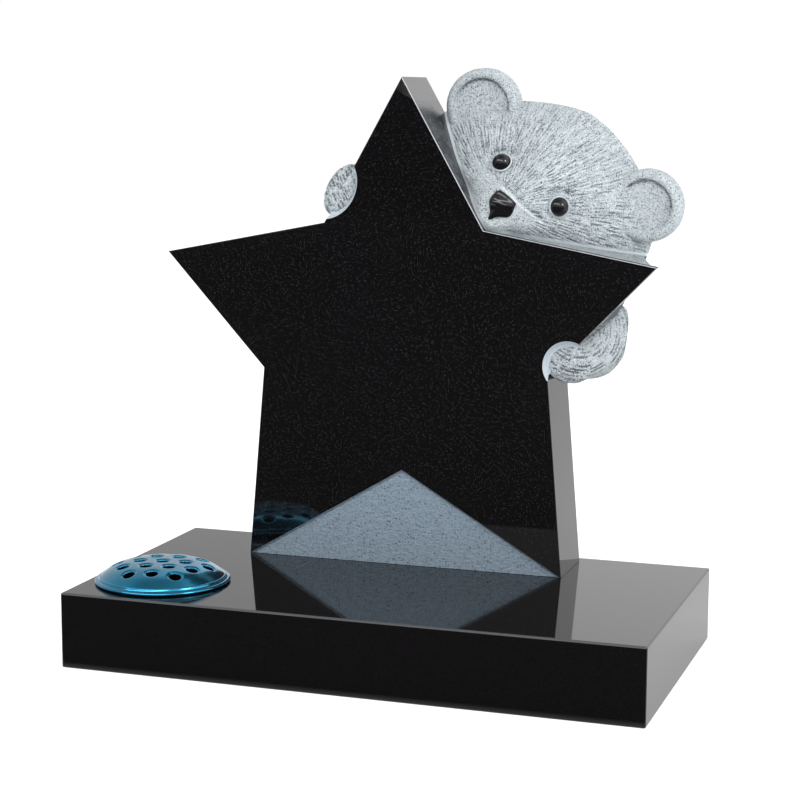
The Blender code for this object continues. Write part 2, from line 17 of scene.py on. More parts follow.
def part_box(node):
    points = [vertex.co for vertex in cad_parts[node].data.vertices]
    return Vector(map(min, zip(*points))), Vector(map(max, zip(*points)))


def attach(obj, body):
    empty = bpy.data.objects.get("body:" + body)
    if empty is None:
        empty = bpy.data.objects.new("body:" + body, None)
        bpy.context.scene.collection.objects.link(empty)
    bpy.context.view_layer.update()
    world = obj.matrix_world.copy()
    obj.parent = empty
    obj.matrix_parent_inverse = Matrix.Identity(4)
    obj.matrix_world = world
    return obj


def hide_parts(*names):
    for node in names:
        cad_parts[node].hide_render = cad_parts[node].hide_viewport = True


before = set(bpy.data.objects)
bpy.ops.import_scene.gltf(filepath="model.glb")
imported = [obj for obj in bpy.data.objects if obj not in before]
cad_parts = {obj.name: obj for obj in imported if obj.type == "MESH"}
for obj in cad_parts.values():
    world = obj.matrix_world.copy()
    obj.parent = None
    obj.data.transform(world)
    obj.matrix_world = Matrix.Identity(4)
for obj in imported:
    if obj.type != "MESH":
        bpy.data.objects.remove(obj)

bl_info = {
    "name": "Star headstone with a carved bear",
    "version": (1, 0, 0),
    "blender": (4, 5, 0),
    "location": "View3D > Sidebar > Headstone",
    "description": "Builds the finished pieces of a star headstone around its solids",
    "category": "Object",
}

STONE_LOW, STONE_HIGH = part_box("headstone")
SLAB_LOW, SLAB_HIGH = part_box("base")
LID_LOW, LID_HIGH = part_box("flower_holder_lid")
STONE_FRONT, STONE_BACK, STONE_FOOT = STONE_LOW.y, STONE_HIGH.y, STONE_LOW.z
THICKNESS = STONE_BACK - STONE_FRONT
SLAB_TOP = SLAB_HIGH.z
SLAB_ARRIS = 0.0018
# A form behind another in the flat back lies this much deeper, so the two faces don't meet
BACK_STEP = 0.00015
# A face larger than this many square metres is flat
LARGE_FACE = 0.0002

# The star's corners, from its middle line and the slab's top. A corner on the right has a third
# number: how far it lies higher there, and its twin on the left lower
STAR_SHIFT = -0.0152
SIDE_DRIFT = 0.0015
STAR_TOP = (0.0, 0.5238)
STAR_RIGHT = (
    (0.0889, 0.3671, -0.0022), (0.2732, 0.3326, -0.0010), (0.1599, 0.2123, 0.0030), (0.1780, 0.0, 0.0),
)
TRIANGLE_HEIGHT = 0.1052
TRIANGLE_RECESS = 0.0025
TRIANGLE_BEVEL = 0.0022
TIP_PLATE = 0.012
TIP_CUT_REACH = 0.60
TIP_CUT_FRONT = ((0.2660, 0.3337), (0.2300, 0.2865))
TIP_CUT_BACK = ((0.2475, 0.3367), (0.2170, 0.2725))
OVERCUT = 0.010

# The bear's head, in its own frame: u runs from ear to ear, v up to the crown
HEAD_X, HEAD_Z, HEAD_TILT = 0.1342, 0.4018, math.radians(-30.0)
HEAD_RIGHT, HEAD_LEFT, HEAD_CROWN, HEAD_CHIN = 0.130, 0.150, 0.097, 0.080
HEAD_RIGHT_POWER, HEAD_LEFT_POWER = 1.75, 1.40
MUZZLE_U, MUZZLE_V, MUZZLE_FLAT, MUZZLE_DEPTH = -0.020, -0.028, 0.018, 0.0040
HEAD_EDGE, HEAD_EDGE_POWER = 0.006, 8
HEAD_SLOPE_SIDES, HEAD_SLOPE_CROWN = 1.08, 1.55
EAR_HEIGHT, EAR_RIM_WIDTH, EAR_DISH_DEPTH = 0.0205, 0.0110, 0.0055
# The ear's section: shares of the dish's radius with heights over its floor, then shares of the
# rim's width with shares of the ear's height
EAR_DISH = ((0.0, 0.0), (0.55, 0.0002), (0.86, 0.0004), (1.0, 0.0016))
EAR_RIM = ((0.14, 0.97), (0.34, 1.0), (0.60, 0.975), (0.84, 0.86), (0.97, 0.70), (1.0, 0.50))
EARS = {"bear_left_ear": ((-0.1030, 0.0455), 0.0410), "bear_right_ear": ((0.1038, 0.0468), 0.0388)}
EYE_RADIUS, EYE_SUNK, EYE_REACH = 0.0098, 0.0025, 0.420
EYES = {"bear_left_eye": math.radians(127.5), "bear_right_eye": math.radians(34.2)}
NOSE_PROUD = 0.0030
NOSE_OUTLINE = (
    (-0.0070, 0.0090), (0.0005, 0.0185), (0.0070, 0.0185), (0.0205, 0.0080),
    (0.0210, 0.0040), (0.0150, -0.0075), (0.0020, -0.0085), (-0.0080, -0.0110), (-0.0065, -0.0030),
)

# Bands of fur: seed, rays in a full turn, and the band's inner and outer radius from the muzzle
FUR_BANDS = (
    (11.0, 92, 0.018, 0.060), (23.0, 136, 0.050, 0.094), (37.0, 182, 0.084, 0.138), (41.0, 236, 0.128, 0.200),
)
# The muzzle's ridge: where it starts, right of and above the fur's middle, and the way it runs
MUZZLE_RIDGE, MUZZLE_RIDGE_WAY = (0.0002, 0.0200), (0.730, -0.684)
# Inside the star the chin runs on this far from the muzzle, so that the muzzle meets it level
CHIN_REACH = 0.112
EYELID_TUBE, EYELID_SHIFT = 0.0008, np.array((0.0011, 0.0, 0.0009))
NOSE_RIDGE, NOSE_SWELL, NOSE_SLANT, NOSE_BULGE = 0.0070, 0.0018, 0.25, 0.0020

# The limbs
PAW_X, PAW_Z, PAW_RADIUS, PAW_UNDERSIDE = 0.1832, 0.2255, 0.0250, 0.0190
PAW_FRONT_DEPTH, PAW_CAP, PAW_FULLNESS, ARM_FLARE = 0.0010, 0.012, 0.72, 1.9
# The middle of the arm's curved grooves, right of and above the paw's middle
ARM_HUB = (0.0145, 0.0410)
ARM_OUTLINE = (
    (0.0430, 0.0535), (0.0428, 0.0120), (0.0360, -0.0045), (0.0228, -0.0178), (0.0050, -0.0232),
    (-0.0130, -0.0205), (-0.0280, -0.0120), (-0.0180, 0.0200), (0.0120, 0.0560),
)
LEFT_PAW_X, LEFT_PAW_Z, LEFT_PAW_HALF_LENGTH, LEFT_PAW_HALF_WIDTH = -0.0705, 0.4040, 0.0300, 0.0175
SCOOP_DEPTH, SCOOP_BEVEL, SCOOP_RADIUS = 0.0060, 0.0030, 0.0270
LEFT_SCOOP_RADIUS, LEFT_SCOOP_OUT, LEFT_SCOOP_STRETCH, LEFT_SCOOP_DOWN = 0.0325, 0.0140, 1.16, 0.0015

# The lid, round the well's middle
LID_MIDDLE = Vector(((LID_LOW.x + LID_HIGH.x) / 2, (LID_LOW.y + LID_HIGH.y) / 2, SLAB_TOP))
LID_RIM_RADIUS = (LID_HIGH.x - LID_LOW.x) / 2
LID_CROWN_HEIGHT = LID_HIGH.z - SLAB_TOP
LID_CROWN_RADIUS, LID_CROWN_DROP, LID_CROWN_POWER = 0.0645, 0.0143, 4
LID_PLAN_RADIUS = 0.0590
LID_SKIRT_OUTSIDE, LID_SKIRT_INSIDE, LID_SKIRT_TOP, LID_SKIRT_LENGTH = 0.0572, 0.0562, 0.0114, 0.012
LID_WALL = 0.0012
# How deep the sheet is dished at a hole, and the radius of the hole's rolled edge
LID_HOLE_DISH, LID_HOLE_ROLL = 0.0010, 0.0007
# The rolled rim's section, from the crown's foot round to its seat: in from the rim's edge, and
# height over the slab
LID_RIM_SECTION = (
    (0.0060, 0.0071), (0.0055, 0.0070), (0.0050, 0.0066), (0.0045, 0.0057), (0.0039, 0.0048),
    (0.0031, 0.0043), (0.0023, 0.0042), (0.0015, 0.0040), (0.0007, 0.0035), (0.0001, 0.0027),
    (0.0000, 0.0020), (0.0004, 0.0011), (0.0012, 0.0005), (0.0022, 0.0003), (0.0034, 0.0004),
    (0.0042, 0.0014), (0.0046, 0.0028), (0.0053, 0.0042),
)
STEM_HOLE_TURN = math.radians(10.3)

# Streaks in a finish: turn in degrees, stretch, scale and strength
PANEL_STREAKS = (28.0, (1.0, 1.0, 6.0), 130.0, -1.1)
LEDGE_STREAKS = (9.6, (0.06, 1.0, 1.0), 420.0, 0.6)

# The camera that took in the stone: place, turn, dip, roll and focal length for a 36 mm frame
CAMERA_PLACE = (0.658138, -1.922207, 0.584212)
CAMERA_TURN, CAMERA_DIP, CAMERA_ROLL, CAMERA_LENS = 0.327, 0.153, 0.003, 89.04


# Numbers and patterns

def hashed(*cells, seed=0.0):
    """A repeatable random value from 0 to 1 for each whole-number cell: the fraction of a large sine."""
    value = seed
    for cell, factor in zip(cells, (127.1, 311.7, 74.7)):
        value = value + cell * factor
    return np.mod(np.sin(value) * 43758.5453, 1.0)


def eased(value, low, high):
    """0 below low, 1 above high and 3t2 - 2t3 between them."""
    t = np.clip((value - low) / (high - low), 0.0, 1.0)
    return t * t * (3 - 2 * t)


def smooth_noise(x, y, seed):
    """Random values at whole numbers, blended between the four round each point by 3t2 - 2t3."""
    i, j = np.floor(x), np.floor(y)
    s, t = eased(x - i, 0.0, 1.0), eased(y - j, 0.0, 1.0)
    low = hashed(i, j, seed=seed) * (1 - s) + hashed(i + 1, j, seed=seed) * s
    high = hashed(i, j + 1, seed=seed) * (1 - s) + hashed(i + 1, j + 1, seed=seed) * s
    return low * (1 - t) + high * t


def chisel_strokes(across, along, seed, thin=0.26):
    """Short tapered grooves, 1 at the bottom: one row of them for each unit of across, about a
    unit of along long, each row shifted and each stroke cut to a random length and strength."""
    across = across + 0.9 * (smooth_noise(across * 0.31, along * 0.55, seed) - 0.5)
    row = np.floor(across)
    middle = across - row - 0.5 + 0.3 * (hashed(row, seed=seed + 4.0) - 0.5)
    shifted = along + hashed(row, seed=seed + 1.0) * 17.0
    cell = np.floor(shifted)
    part = shifted - cell
    strength = hashed(row, cell, seed=seed + 2.0)
    length = 0.62 + 0.38 * hashed(row, cell, seed=seed + 3.0)
    taper = np.clip(part / 0.12, 0, 1) * np.clip((length - part) / 0.16, 0, 1)
    return np.exp(-(middle / thin) ** 2) * taper * (0.25 + 0.75 * eased(strength, 0.0, 0.7))


def smooth_curve(points, count, closed=True):
    """Points evenly spread by index along a curve through a few others: a cubic between each two,
    which passes each one parallel to the line between its neighbours."""
    points = np.asarray(points, float)
    total = len(points)
    place = np.arange(count) * (total / count if closed else (total - 1) / (count - 1))
    start = np.minimum(np.floor(place).astype(int), total - 1 if closed else total - 2)
    t = (place - start)[:, None]
    pick = [(start + k) % total if closed else np.clip(start + k, 0, total - 1) for k in (-1, 0, 1, 2)]
    a, b, c, d = (points[p] for p in pick)
    square, cube = 2 * a - 5 * b + 4 * c - d, 3 * b - a - 3 * c + d
    return 0.5 * (2 * b + (c - a) * t + square * t ** 2 + cube * t ** 3)


def on_star(across, up, depth):
    """Points from the star's middle line, the slab's top and the star's front face."""
    across, up, depth = np.broadcast_arrays(across, up, depth)
    return np.stack([STAR_SHIFT + across, STONE_FRONT + depth, STONE_FOOT + up], -1).astype(float)


def full_turn(count):
    """Angles spread evenly over a full turn."""
    return np.linspace(0, 2 * math.pi, count, endpoint=False)


def unit_circle(count):
    """Points spread evenly round a circle of radius 1."""
    turn = full_turn(count)
    return np.stack([np.cos(turn), np.sin(turn)], -1)


# Meshes

def grid_faces(rows, columns, first=0):
    """Four-cornered faces between neighbours of a grid whose last column joins its first."""
    row = np.arange(rows - 1)[:, None]
    column = np.arange(columns)[None, :]
    after = (column + 1) % columns
    low, high = row * columns, (row + 1) * columns
    return np.stack([low + column, low + after, high + after, high + column], -1).reshape(-1, 4) + first


def fan_faces(loop, middle, flip=False):
    """Triangles from a closed loop of point numbers to a middle one."""
    after = np.roll(loop, -1)
    order = (after, loop) if flip else (loop, after)
    return np.stack([*order, np.full(len(loop), middle)], -1)


def build_mesh(name, points, faces, slots=None):
    """A mesh from arrays: points, and groups of faces that each have one number of corners. It is
    turned so that the volume under its faces, the sum of their cross products, is positive."""
    points = np.asarray(points, float).reshape(-1, 3)
    volume = 0.0
    for group in faces:
        fan = points[group]
        for k in range(1, group.shape[1] - 1):
            volume += np.einsum("ij,ij->", fan[:, 0], np.cross(fan[:, k], fan[:, k + 1]))
    if volume < 0:
        faces = [group[:, ::-1] for group in faces]
    mesh = bpy.data.meshes.new(name)
    loops = np.concatenate([group.ravel() for group in faces])
    counts = np.concatenate([np.full(len(group), group.shape[1]) for group in faces])
    mesh.vertices.add(len(points))
    mesh.vertices.foreach_set("co", points.astype(np.float32).ravel())
    mesh.loops.add(len(loops))
    mesh.loops.foreach_set("vertex_index", loops.astype(np.int32))
    mesh.polygons.add(len(counts))
    mesh.polygons.foreach_set("loop_start", (np.cumsum(counts) - counts).astype(np.int32))
    if slots is not None:
        mesh.polygons.foreach_set("material_index", np.asarray(slots, np.int32))
    mesh.update(calc_edges=True)
    mesh.validate()
    return mesh


def closed_form(name, grid, ends, backed=True):
    """A mesh from a grid that wraps round, closed by a fan to a point at each end. Where it is
    backed, its last fan, the flat back, has the second material."""
    rows, columns = grid.shape[:2]
    total, loop = rows * columns, np.arange(columns)
    last = fan_faces(loop + total - columns, total + 1)
    faces = [grid_faces(rows, columns), fan_faces(loop, total, flip=True), last]
    slots = np.repeat([0, 0, int(backed)], [len(group) for group in faces])
    return build_mesh(name, np.concatenate([grid.reshape(-1, 3), ends]), faces, slots)


def end_points(grid, back):
    """The middles of a grid's first and last rows, the last one moved to the stone's back."""
    ends = np.array([grid[0].mean(0), grid[-1].mean(0)])
    ends[1, 1] = back
    return ends


def placed(name, data):
    """A new object in the scene."""
    made = bpy.data.objects.new(name, data)
    bpy.context.scene.collection.objects.link(made)
    return made


def finished_piece(mesh, materials, smooth_angle, node="headstone"):
    """Puts a mesh into the scene as a piece that stands for a solid. Large faces and the faces of
    its further materials stay flat, so that no edge beside them bends their shading."""
    piece = placed(mesh.name, mesh)
    for material in materials:
        mesh.materials.append(material)
    mesh.shade_smooth()
    mesh.set_sharp_from_angle(angle=math.radians(smooth_angle))
    for polygon in mesh.polygons:
        if polygon.material_index or polygon.area > LARGE_FACE:
            polygon.use_smooth = False
    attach(piece, "root")
    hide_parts(node)
    return piece


def add_masks(mesh, groove_and_shade, smooth, smooth_ends):
    """Stores the groove mask, which also holds painted shade and painted highlights, and the smooth
    mask at the points of a closed grid, for a material to read. The groove mask is nought at the two
    end points."""
    for name, values, ends in (("groove_and_shade", groove_and_shade, (0, 0)), ("smooth", smooth, smooth_ends)):
        layer = mesh.attributes.new(name, "FLOAT", "POINT")
        layer.data.foreach_set("value", np.append(values.ravel(), ends).astype(np.float32))


def surface_normals(grid):
    """Unit normals of a grid that wraps round: the cross product of its two central differences."""
    along = np.roll(grid, -1, 1) - np.roll(grid, 1, 1)
    normal = np.cross(along, np.gradient(grid, axis=0))
    return normal / np.maximum(np.linalg.norm(normal, axis=-1, keepdims=True), 1e-12)


def inset_outline(outline, inset):
    """Moves each side of a closed outline inwards by inset, so that a corner moves on its mitre."""
    outline = np.asarray(outline, float)
    x, y = outline.T
    area = np.sum(x * np.roll(y, -1) - np.roll(x, -1) * y)
    side = np.roll(outline, -1, 0) - outline
    side /= np.linalg.norm(side, axis=1, keepdims=True)
    inward = np.stack([-side[:, 1], side[:, 0]], -1) * np.sign(area)
    before = np.roll(inward, 1, 0)
    mitre = (before + inward) / (1 + np.sum(before * inward, 1))[:, None]
    return outline + mitre * inset


def ringed_form(name, rings):
    """Rings of points joined into a form that is closed flat at both ends."""
    count = len(rings[0])
    ends = [np.arange(count)[None, :], (np.arange(count) + count * (len(rings) - 1))[None, ::-1]]
    return build_mesh(name, np.concatenate(rings), [grid_faces(len(rings), count)[:, ::-1], *ends])


def outline_form(name, outline, profile):
    """An outline carried along a profile of (inset, depth) steps."""
    return ringed_form(name, [on_star(*inset_outline(outline, inset).T, depth) for inset, depth in profile])


# Materials

class Nodes:
    """Adds and links shader nodes in one tree."""

    def __init__(self, tree):
        self.tree = tree

    def add(self, kind, inputs=None, **settings):
        """A node with its settings, whose inputs are given values or other nodes' outputs."""
        node = self.tree.nodes.new("ShaderNode" + kind)
        for key, value in settings.items():
            setattr(node, key, value)
        for key, value in (inputs or {}).items():
            if isinstance(value, bpy.types.NodeSocket):
                self.link(value, node.inputs[key])
            else:
                node.inputs[key].default_value = value
        return node

    def link(self, value, socket):
        """Joins an output to an input."""
        self.tree.links.new(value, socket)

    def place(self):
        """The place on the piece."""
        return self.add("TexCoord").outputs["Object"]

    def parts(self, vector):
        """The outputs X, Y and Z of a vector."""
        return self.add("SeparateXYZ", {"Vector": vector}).outputs

    def turned(self, place, degrees, stretch):
        """A place stretched, then turned round the line from front to back."""
        inputs = {"Vector": place, "Rotation": (0.0, math.radians(degrees), 0.0), "Scale": stretch}
        return self.add("Mapping", inputs).outputs[0]

    def noise(self, place, scale, detail, roughness=0.5):
        """The output of a Noise texture."""
        inputs = {"Vector": place, "Scale": scale, "Detail": detail, "Roughness": roughness}
        return self.add("TexNoise", inputs).outputs[0]

    def relief(self, height, depth, shader, strength=1.0):
        """Bumps a shader's normal by a height."""
        bump = self.add("Bump", {"Strength": strength, "Distance": depth, "Height": height})
        self.link(bump.outputs[0], shader.inputs["Normal"])

    def math(self, operation, first, second, clamp=False):
        """The output of a Math node."""
        return self.add("Math", {0: first, 1: second}, operation=operation, use_clamp=clamp).outputs[0]

    def plus(self, first, second, clamp=False):
        """A sum."""
        return self.math("ADD", first, second, clamp)

    def minus(self, first, second, clamp=False):
        """A difference."""
        return self.math("SUBTRACT", first, second, clamp)

    def times(self, first, second):
        """A product."""
        return self.math("MULTIPLY", first, second)

    def blend(self, share, first, second):
        """The output of a colour mix."""
        mix = self.add("Mix", {"Factor": share}, data_type="RGBA")
        for socket, value in ((6, first), (7, second)):
            if isinstance(value, bpy.types.NodeSocket):
                self.link(value, mix.inputs[socket])
            else:
                mix.inputs[socket].default_value = (*value, 1.0) if len(value) == 3 else value
        return mix.outputs[2]

    def remap(self, value, low, high, to_low=0.0, to_high=1.0):
        """A value carried from one range to another, and held inside it."""
        inputs = {"Value": value, "From Min": low, "From Max": high, "To Min": to_low, "To Max": to_high}
        return self.add("MapRange", inputs).outputs["Result"]


def effect_group(name, inputs, outputs):
    """An empty shader group with float inputs and outputs, its Nodes, and its two end nodes."""
    tree = bpy.data.node_groups.new(name, "ShaderNodeTree")
    for label, value in inputs:
        tree.interface.new_socket(label, in_out="INPUT", socket_type="NodeSocketFloat").default_value = value
    for label in outputs:
        tree.interface.new_socket(label, in_out="OUTPUT", socket_type="NodeSocketFloat")
    start, end = tree.nodes.new("NodeGroupInput"), tree.nodes.new("NodeGroupOutput")
    return tree, Nodes(tree), start, end


def granite_flecks():
    """Mineral grains in the polished stone: fine dust, and the nearness of each cell's middle where
    the cell is one of a few."""
    inputs = (("Scale", 900.0), ("Rarity", 0.9))
    tree, make, start, end = effect_group("granite_flecks", inputs, ("Fleck", "Dust"))
    place = make.place()
    cells = make.add("TexVoronoi", {"Vector": place, "Scale": start.outputs["Scale"]})
    near = make.remap(cells.outputs["Distance"], 0.36, 0.12)
    chosen = make.add("SeparateColor", {"Color": cells.outputs["Color"]}).outputs[0]
    chosen = make.remap(chosen, start.outputs["Rarity"], 1.0)
    make.link(make.times(near, chosen), end.inputs["Fleck"])
    dust = make.noise(place, start.outputs["Scale"], 2.0, 0.7)
    make.link(make.remap(dust, 0.35, 0.65), end.inputs["Dust"])
    return tree


def pecked_stone():
    """The grain of struck stone, as a height and as a tone: fine noise, with a dark pit in the
    middle of most cells."""
    inputs = (("Scale", 700.0), ("Pits", 0.5))
    tree, make, start, end = effect_group("pecked_stone", inputs, ("Height", "Tone"))
    place = make.place()
    grain = make.remap(make.noise(place, start.outputs["Scale"], 3.0, 0.7), 0.36, 0.64)
    tight = make.times(start.outputs["Scale"], 0.75)
    cells = make.add("TexVoronoi", {"Vector": place, "Scale": tight, "Randomness": 1.0})
    size = make.add("SeparateColor", {"Color": cells.outputs["Color"]})
    pits = make.remap(cells.outputs["Distance"], 0.42, 0.14)
    pits = make.times(pits, make.remap(size.outputs[0], 0.35, 0.75))
    pits = make.times(pits, start.outputs["Pits"])
    make.link(make.minus(grain, make.times(pits, 1.5)), end.inputs["Height"])
    tone = make.minus(make.plus(make.times(grain, 0.68), 0.42), pits, clamp=True)
    make.link(tone, end.inputs["Tone"])
    return tree


def shared_group(maker):
    """An effect's group, built the first time that it is asked for."""
    return bpy.data.node_groups.get(maker.__name__) or maker()


def built_once(maker):
    """Makes a material's function return the material of that name where there is one."""
    @functools.wraps(maker)
    def find(name, *rest, **settings):
        return bpy.data.materials.get(name) or maker(name, *rest, **settings)
    return find


def start_material(name, levels):
    """A new material, its Nodes and its surface shader, with levels for the shader's inputs."""
    material = bpy.data.materials.new(name)
    material.use_nodes = True
    shader = material.node_tree.nodes["Principled BSDF"]
    for key, level in levels.items():
        shader.inputs[key].default_value = level
    return material, Nodes(material.node_tree), shader


@built_once
def granite_material(name, scale, ground, fleck, edge=None):
    """Black granite with a mirror polish. An edge is the colour of the slab's ground front arris:
    the places whose distances below its top and behind its front add up to the arris or less."""
    material, make, shader = start_material(name, {"IOR": 1.5})
    grains = make.add("Group", {"Scale": scale, "Rarity": 0.68}, node_tree=shared_group(granite_flecks))
    colour = make.blend(grains.outputs["Dust"], [c * 0.4 for c in ground], [c * 1.7 for c in ground])
    colour = make.blend(grains.outputs["Fleck"], colour, fleck)
    gloss = make.remap(grains.outputs["Dust"], 0.0, 1.0, 0.030, 0.055)
    if edge:
        place = make.parts(make.place())
        inwards = make.minus(make.minus(place["Y"], place["Z"]), SLAB_LOW.y - SLAB_TOP)
        ground_edge = make.remap(inwards, SLAB_ARRIS * 1.05, SLAB_ARRIS * 1.15, 1.0, 0.0)
        colour = make.blend(ground_edge, colour, edge)
        gloss = make.plus(gloss, make.times(ground_edge, 0.3))
    make.link(colour, shader.inputs["Base Color"])
    make.link(gloss, shader.inputs["Roughness"])
    return material


@built_once
def carved_material(name, light, dark, scale, pits, bump, streaks=None, edge=False):
    """Struck or frosted granite: light where the tool bruised it and dark in its grooves, partly as
    the stone's own tone and partly as painted shade, which the groove point mask marks; below nought
    it marks scratches and painted highlights that are paler still. The mask named smooth marks rubbed
    bands. The vectors named fur give a place across and along the fur, for its finest hairs, and how
    strongly they show. Streaks, given by a turn, a stretch, a scale and a strength, are darker, or
    paler where the strength is below nought. An edge is darker close behind the stone's front."""
    material, make, shader = start_material(name, {"Roughness": 0.75, "Specular IOR Level": 0.3})
    grain = make.add("Group", {"Scale": scale, "Pits": pits}, node_tree=shared_group(pecked_stone))
    groove_and_shade = make.add("Attribute", attribute_name="groove_and_shade").outputs["Fac"]
    smooth = make.add("Attribute", attribute_name="smooth").outputs["Fac"]
    keep = make.minus(1.0, make.times(smooth, 0.8))
    deep = make.times(make.minus(1.0, grain.outputs["Tone"]), keep)
    # The groove mask darkens grooves partly as painted shade, and below nought pales as painted highlights.
    broken = make.times(groove_and_shade, make.plus(make.times(deep, 1.2), 0.55))
    shade = make.plus(make.times(deep, 0.85), broken)
    height = make.times(grain.outputs["Height"], keep)
    fur = make.add("Attribute", attribute_name="fur").outputs["Vector"]
    hair = make.remap(make.noise(fur, 1.0, 3.0, 0.6), 0.40, 0.66, -0.35, 0.65)
    shade = make.plus(shade, make.times(hair, make.parts(fur)["Z"]))
    if streaks:
        turn, stretch, fine, strength = streaks
        scratch = make.noise(make.turned(make.place(), turn, stretch), fine, 4.0, 0.75)
        shade = make.plus(shade, make.times(make.remap(scratch, 0.50, 0.72), strength))
    if edge:
        back = make.parts(make.place())["Y"]
        shade = make.plus(shade, make.remap(back, STONE_FRONT + 0.004, STONE_FRONT + 0.012, 0.8, 0.0))
    shade = make.plus(shade, 0.12, clamp=True)
    make.link(make.blend(shade, light, dark), shader.inputs["Base Color"])
    make.relief(height, bump, shader)
    return material


@built_once
def sawn_material(name, light, dark):
    """The dark sawn wall between the star and the bear, smudged with pale stone dust, and paler
    towards its foot.
    """
    material, make, shader = start_material(name, {"IOR": 1.5})
    place = make.place()
    smudge = make.noise(make.turned(place, -30.0, (2.2, 1.0, 1.0)), 55.0, 6.0, 0.65)
    # Paler towards the foot and darker towards the top.
    lower = make.remap(make.parts(place)["Z"], 0.56, 0.42, -0.16, 0.06)
    share = make.remap(make.plus(smudge, lower), 0.40, 0.72)
    make.link(make.blend(share, dark, light), shader.inputs["Base Color"])
    make.link(make.remap(share, 0.0, 1.0, 0.22, 0.6), shader.inputs["Roughness"])
    make.relief(smudge, 0.0002, shader)
    return material


@built_once
def ground_material(name, colour):
    """The ground arris: a fine matt edge, paler than the polish."""
    material, make, shader = start_material(name, {"Roughness": 0.35})
    tint = make.blend(make.noise(make.place(), 300.0, 2.0), [c * 0.8 for c in colour], colour)
    make.link(tint, shader.inputs["Base Color"])
    return material


@built_once
def gloss_material(name, colour):
    """Polished black stone of the eyes and the nose."""
    material, make, shader = start_material(name, {"Specular IOR Level": 0.42})
    flecks = make.add("Group", {"Scale": 700.0}, node_tree=shared_group(granite_flecks))
    tint = make.blend(make.times(flecks.outputs["Dust"], 0.6), colour, [c * 2.5 for c in colour])
    make.link(tint, shader.inputs["Base Color"])
    make.link(make.remap(flecks.outputs["Dust"], 0.0, 1.0, 0.05, 0.09), shader.inputs["Roughness"])
    return material


def lid_material(colour, roughness):
    """Spun aluminium, anodised: fine rings of the lathe in the gloss, and a slow drift in the dye."""
    levels = {"Metallic": 1.0, "Coat Weight": 0.35, "Coat Roughness": 0.1}
    material, make, shader = start_material("blue_anodised_finish", levels)
    centred = make.add("Mapping", {"Vector": make.place(), "Location": [-c for c in LID_MIDDLE]}).outputs[0]
    wave = {"Vector": centred, "Scale": 420.0, "Distortion": 0.4}
    rings = make.add("TexWave", wave, wave_type="RINGS", rings_direction="Z")
    drift = make.noise(centred, 30.0, 3.0)
    deep, pale = ([min(1.0, c * level) for c in colour] for level in (0.88, 1.1))
    make.link(make.blend(make.remap(drift, 0.3, 0.7), deep, pale), shader.inputs["Base Color"])
    make.link(make.remap(drift, 0.3, 0.7, roughness * 0.85, roughness * 1.2), shader.inputs["Roughness"])
    make.relief(rings.outputs["Fac"], 0.00002, shader, strength=0.25)
    return material


# The star

def star_corners():
    """The star's corners, clockwise from its top."""
    right = np.array([(across + SIDE_DRIFT, up + shift) for across, up, shift in STAR_RIGHT])
    left = np.array([(-across + SIDE_DRIFT, up - shift) for across, up, shift in reversed(STAR_RIGHT)])
    return np.concatenate([[STAR_TOP], right, left])


def bay_cutter(name, across, up, radius, way=(0.0, 1.0), stretch=1.0):
    """A round bay with a slanted wall, stretched along a way."""
    turn = full_turn(96)
    slope = SCOOP_BEVEL / SCOOP_DEPTH
    rings = []
    steps = ((radius + OVERCUT * slope, -OVERCUT), (radius, 0.0), (radius - SCOOP_BEVEL, SCOOP_DEPTH))
    for r, depth in steps:
        side, along = r * np.cos(turn), r * np.sin(turn) * stretch
        right = across + side * way[1] + along * way[0]
        rings.append(on_star(right, up - side * way[0] + along * way[1], depth))
    return ringed_form(name, rings)


def tip_cutter():
    """The wedge behind the right tip, which leaves it a thin plate: the hull of eight points."""
    hull = bmesh.new()
    reach = STAR_RIGHT[1][0] + OVERCUT * 4
    for depth, ends in ((TIP_PLATE, TIP_CUT_FRONT), (THICKNESS + OVERCUT, TIP_CUT_BACK)):
        top, low = Vector(ends[0]), Vector(ends[1])
        run = (top - low) * TIP_CUT_REACH
        for place in (top + run, low - run):
            for across in (place.x, reach):
                hull.verts.new(on_star(across, place.y, depth))
    bmesh.ops.convex_hull(hull, input=hull.verts)
    mesh = bpy.data.meshes.new("tip_relief")
    hull.to_mesh(mesh)
    hull.free()
    return mesh


def left_edge():
    """The unit vectors along the star's upper left edge and out of it."""
    corners = star_corners()
    along = corners[0] - corners[8]
    along /= np.linalg.norm(along)
    return along, np.array([-along[1], along[0]])


